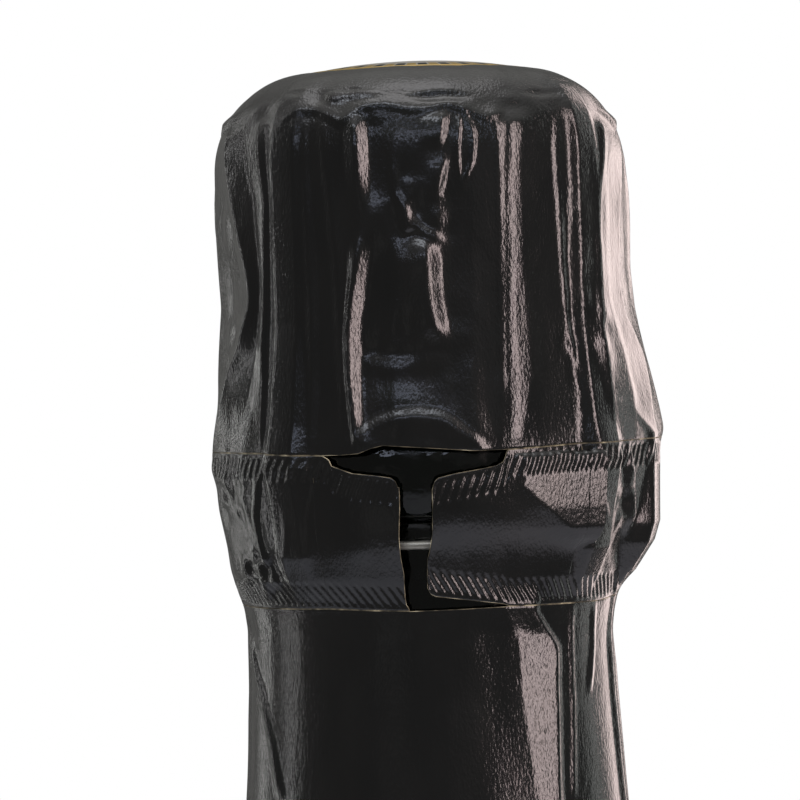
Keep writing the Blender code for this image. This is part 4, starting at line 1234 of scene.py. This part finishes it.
def make_strip(finishes):
    """The tear strip, in pieces that each span one hinge."""
    middles = [TAB_END + STRIP_SWEEP * (number - 0.5) for number in range(1, STRIP_PIECES + 1)]
    last_end = FULL_TURN + GAP_START
    end_edge = (band_end[0], [angle + FULL_TURN for angle in band_end[1]])
    strip_piece(
        "tear_band_end", "tear_strip_7", "bottle", middles[-1], last_end, (band_line, lower_line), finishes,
        end_edge=end_edge,
    )
    for number in range(STRIP_PIECES - 1, 0, -1):
        piece = strip_piece(
            f"tear_band_{number}", f"tear_strip_{number}", None, middles[number - 1], middles[number],
            (upper_line, lower_line), finishes,
        )
        bend_piece(piece)
    tab = strip_piece(
        "tear_pull_tab", "tear_tab", None, 0, middles[0], (tab_line, tab_foot_line), finishes,
        start_edge=tab_start,
    )
    bend_piece(tab)


def bend_piece(piece):
    """Bakes the piece's placement into its mesh."""
    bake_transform(piece)


def make_badge(finish):
    """The round badge in the top of the hood, domed, with a rolled rim."""
    rise = BADGE_TOP - BADGE_EDGE
    dome = [(BADGE_RADIUS * share, BADGE_TOP - rise * share**2.2) for share in np.linspace(0, 0.975, 40)]
    rim_top = dome[-1][1] + 0.03
    rim = [
        (BADGE_RADIUS * 0.982, rim_top), (BADGE_RADIUS * 0.992, rim_top),
        (BADGE_RADIUS, BADGE_EDGE), (BADGE_RADIUS, BADGE_EDGE - 0.1),
    ]
    under = [(radius, height - BADGE_SHEET) for radius, height in reversed(dome)]
    dress(lathe("top_badge", dome + rim + under, 160), "hood", "badge", [finish], "foil_badge")


def make_glass(finish):
    collar_top = BOTTLE_HEIGHT - LIP_HEIGHT
    lip = along_ellipse(
        (LIP_RADIUS - LIP_ROUND, BOTTLE_HEIGHT - LIP_ROUND), LIP_ROUND, LIP_ROUND, HALF_TURN / 2, 0, 8
    )
    bead = along_bezier(
        lip[-1], (LIP_RADIUS, collar_top), (LIP_RADIUS, collar_top - LIP_ROUND / 2),
        (COLLAR_RADIUS, collar_top - LIP_ROUND), 8,
    )
    heel = along_ellipse(
        (BODY_RADIUS - HEEL_RADIUS, HEEL_RADIUS), HEEL_RADIUS, HEEL_RADIUS, 0, -HALF_TURN / 2, 12
    )
    punt_foot = BODY_RADIUS - HEEL_RADIUS - BASE_RING_WIDTH
    punt = [(punt_foot, 0)] + along_bezier(
        (punt_foot, 0), (punt_foot * 0.7, PUNT_HEIGHT * 0.15), (punt_foot / 2, PUNT_HEIGHT),
        (0, PUNT_HEIGHT), 24,
    )
    bore = [
        (BORE_RADIUS + BORE_FLARE, CORK_FOOT - CORK_DISC_HEIGHT), (BORE_RADIUS, CORK_FOOT + CORK_DISC_HEIGHT),
        (BORE_RADIUS, BOTTLE_HEIGHT - LIP_ROUND / 2), (BORE_RADIUS + LIP_ROUND / 2, BOTTLE_HEIGHT),
    ]
    outline = cavity(0) + bore + lip + bead + bottle_side() + heel + punt
    dress(lathe("bottle_glass", outline, 144), "bottle", "glass", [finish], "glass_bottle")


def make_wine(finish):
    inside = cavity(GLASS_GAP)
    neck_foot = inside[-1][0]
    share = (FILL_LEVEL - NECK_FOOT) / (CORK_FOOT - CORK_DISC_HEIGHT - NECK_FOOT)
    surface = neck_foot + (BORE_RADIUS + BORE_FLARE - GLASS_GAP - neck_foot) * share
    outline = [(0, FILL_LEVEL), (surface, FILL_LEVEL)] + list(reversed(inside))
    dress(lathe("wine", outline), "bottle", "wine", [finish], "wine_fill")


def make_cork(granules, natural):
    """The mushroom cork: a rounded head, a stem, and the two discs at its foot."""
    stem = BORE_RADIUS - GLASS_GAP
    discs_top = CORK_FOOT + 2 * CORK_DISC_HEIGHT
    corner = CORK_HEAD_RADIUS - CORK_HEAD_ROUND
    rounds = (CORK_HEAD_ROUND, CORK_HEAD_ROUND)
    crown = along_ellipse((corner, CORK_TOP - CORK_HEAD_ROUND), *rounds, HALF_TURN / 2, 0, 10)
    jaw = along_ellipse((corner, CORK_SEAT + CORK_HEAD_ROUND), *rounds, 0, -HALF_TURN / 2, 10)
    outline = [(0, CORK_TOP)] + crown + jaw + [(stem, CORK_SEAT), (stem, discs_top), (0, discs_top)]
    dress(lathe("cork_body_granules", outline), "cork", "cork_grain", [granules], "cork_body")
    edge = stem - DISC_CHAMFER
    for node, foot in (("cork_disc_upper", CORK_FOOT + CORK_DISC_HEIGHT), ("cork_disc_lower", CORK_FOOT)):
        top = foot + CORK_DISC_HEIGHT - GLASS_GAP
        outline = [
            (0, top), (edge, top), (stem, top - DISC_CHAMFER),
            (stem, foot + DISC_CHAMFER), (edge, foot), (0, foot),
        ]
        dress(lathe(node + "_slice", outline), "cork", "cork_disc", [natural], node)


def make_cap(finish):
    """The metal cap, with a domed top, a rounded rim and a short skirt."""
    crest = CAP_TOP + CAP_DOME_HEIGHT
    dome = [(0, crest)] + along_bezier(
        (0, crest), (CAP_DOME_RADIUS * 0.55, crest),
        (CAP_DOME_RADIUS * 0.8, CAP_TOP + CAP_DOME_HEIGHT * 0.35), (CAP_DOME_RADIUS, CAP_TOP), 24,
    )
    flat = CAP_RADIUS - CAP_RIM_ROUND
    rim = along_ellipse((flat, CAP_TOP - CAP_RIM_ROUND), CAP_RIM_ROUND, CAP_RIM_ROUND, HALF_TURN / 2, 0, 8)
    outside = dome + rim + [(CAP_RADIUS, CAP_TOP - CAP_SKIRT)]
    inside = [
        (radius - CAP_SHEET * (radius > flat), height - CAP_SHEET * (radius < CAP_RADIUS - 0.1))
        for radius, height in reversed(outside)
    ]
    dress(lathe("crown_cap", outside + inside), "cage", "tinplate", [finish], "muselet_cap")


def finish_wires(finish):
    """The cage's own wires, rounded off by subdivision."""
    for name in ("cage_frame", "cage_belt"):
        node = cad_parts[name]
        node.data.materials.clear()
        node.data.materials.append(finish)
        weld = node.modifiers.new("Weld", "WELD")
        weld.merge_threshold = WELD_REACH
        smooth = node.modifiers.new("Subdivision", "SUBSURF")
        smooth.levels = 2
        smooth.render_levels = 2
        node.data.shade_smooth()


# Surroundings

def softbox(name, azimuth, elevation, wide, high, radiance, colour):
    """A rectangular lamp at angles from the front, aimed at the hood. Its sizes are angles too."""
    a, e = azimuth * DEGREE, elevation * DEGREE
    toward = Vector((math.sin(a) * math.cos(e), -math.cos(a) * math.cos(e), math.sin(e)))
    lamp = bpy.data.lights.new(name, "AREA")
    lamp.shape = "RECTANGLE"
    lamp.size = 2 * LAMP_DISTANCE * math.tan(wide * DEGREE / 2)
    lamp.size_y = 2 * LAMP_DISTANCE * math.tan(high * DEGREE / 2)
    lamp.energy = radiance * math.pi * lamp.size * lamp.size_y
    lamp.color = colour
    made = bpy.data.objects.new(name, lamp)
    bpy.context.scene.collection.objects.link(made)
    made.location = LAMP_AIM + toward * LAMP_DISTANCE
    made.rotation_euler = toward.to_track_quat("Z", "Y").to_euler()
    made.visible_camera = False


def make_world():
    """Dim in reflections, lighter behind and overhead, and white to the camera and through the glass."""
    world = bpy.data.worlds.new("studio")
    world.use_nodes = True
    bpy.context.scene.world = world
    tree = world.node_tree
    path = add_node(tree, "LightPath").outputs
    place = add_node(tree, "TexCoord").outputs["Generated"]
    toward = add_node(tree, "SeparateXYZ", place).outputs
    shapes = add_node(tree, "TexNoise", Vector=place, Scale=2.6, Detail=1.0).outputs[0]
    room = map_range(tree, shapes, 0.03, 0.16, 0.38, 0.65)
    back = map_range(tree, toward["Y"], 0.0, BACK_GLOW, -0.2, 0.5)
    ceiling = map_range(tree, toward["Z"], ROOM_GLOW, CEILING_GLOW, 0.45, 0.85)
    mirrored = arithmetic(tree, "MAXIMUM", arithmetic(tree, "MAXIMUM", room, back), ceiling)
    seen = arithmetic(tree, "MAXIMUM", path["Is Camera Ray"], path["Is Transmission Ray"])
    glossy = arithmetic(tree, "MULTIPLY", path["Is Glossy Ray"], mirrored)
    matt = arithmetic(tree, "MULTIPLY", path["Is Diffuse Ray"], MATT_GLOW)
    strength = arithmetic(tree, "MAXIMUM", arithmetic(tree, "MAXIMUM", seen, glossy), matt)
    tint = ramp(tree, path["Is Glossy Ray"], [(0.0, (1.0, 1.0, 1.0)), (1.0, (1.0, 0.99, 0.95))])
    connect(tree, tree.nodes["Background"], {"Color": tint, "Strength": strength})


def make_floor():
    """A pale round floor, which fades into the white beyond it, and into the dim room in reflections."""
    turns = [FULL_TURN * k / FLOOR_EDGES for k in range(FLOOR_EDGES)]
    rim = [(FLOOR_RADIUS * math.cos(turn), FLOOR_RADIUS * math.sin(turn), 0) for turn in turns]
    vertices = [(0, 0, 0)] + rim
    faces = [(0, 1 + k, 1 + (k + 1) % FLOOR_EDGES) for k in range(FLOOR_EDGES)]
    floor = add_mesh("floor", vertices, faces)
    made, tree = new_material("pale_floor")
    finished(made, Base_Color=(0.60, 0.63, 0.68, 1), Roughness=0.7)
    length = add_node(tree, "VectorMath", object_place(tree), operation="LENGTH").outputs["Value"]
    path = add_node(tree, "LightPath").outputs
    shown = tree.nodes["Principled BSDF"].outputs["BSDF"]
    fades = (
        ("Is Camera Ray", FADE_START, FADE_END, 1.0),
        ("Is Glossy Ray", RIM_FADE, FLOOR_RADIUS * MM, ROOM_GLOW),
    )
    for ray, start, end, glow in fades:
        share = arithmetic(tree, "MULTIPLY", map_range(tree, length, 0.0, 1.0, start, end), path[ray])
        light = add_node(tree, "Emission", Strength=glow).outputs["Emission"]
        shown = add_node(tree, "MixShader", share, shown, light).outputs["Shader"]
    connect(tree, tree.nodes["Material Output"], {"Surface": shown})
    floor.data.materials.append(made)


def make_camera():
    right, up, forward = camera_axes()
    data = bpy.data.cameras.new("photo_camera")
    data.sensor_width = SENSOR
    data.lens = SENSOR * FOCAL_PIXELS / PHOTO_SIDE
    data.clip_start = 0.01
    made = bpy.data.objects.new("photo_camera", data)
    bpy.context.scene.collection.objects.link(made)
    matrix = made.matrix_world.copy()
    for row in range(3):
        for column, axis in enumerate((right, up, -forward)):
            matrix[row][column] = axis[row]
        matrix[row][3] = CAMERA_PLACE[row] * MM
    made.matrix_world = matrix
    bpy.context.scene.camera = made


make_camera()
for lamp_row in LAMPS:
    softbox(*lamp_row)
make_world()
make_floor()
bpy.context.scene.view_settings.view_transform = "Standard"

foil_finishes = [foil_finish(), cut_edge_finish(), foil_inside_finish()]
make_hood(foil_finishes)
make_skirt(foil_finishes)
make_strip(foil_finishes)
make_badge(badge_finish())
make_glass(glass_finish())
make_wine(wine_finish())
make_cork(granule_finish(), natural_cork_finish())
make_cap(tinplate_finish())
finish_wires(wire_finish())
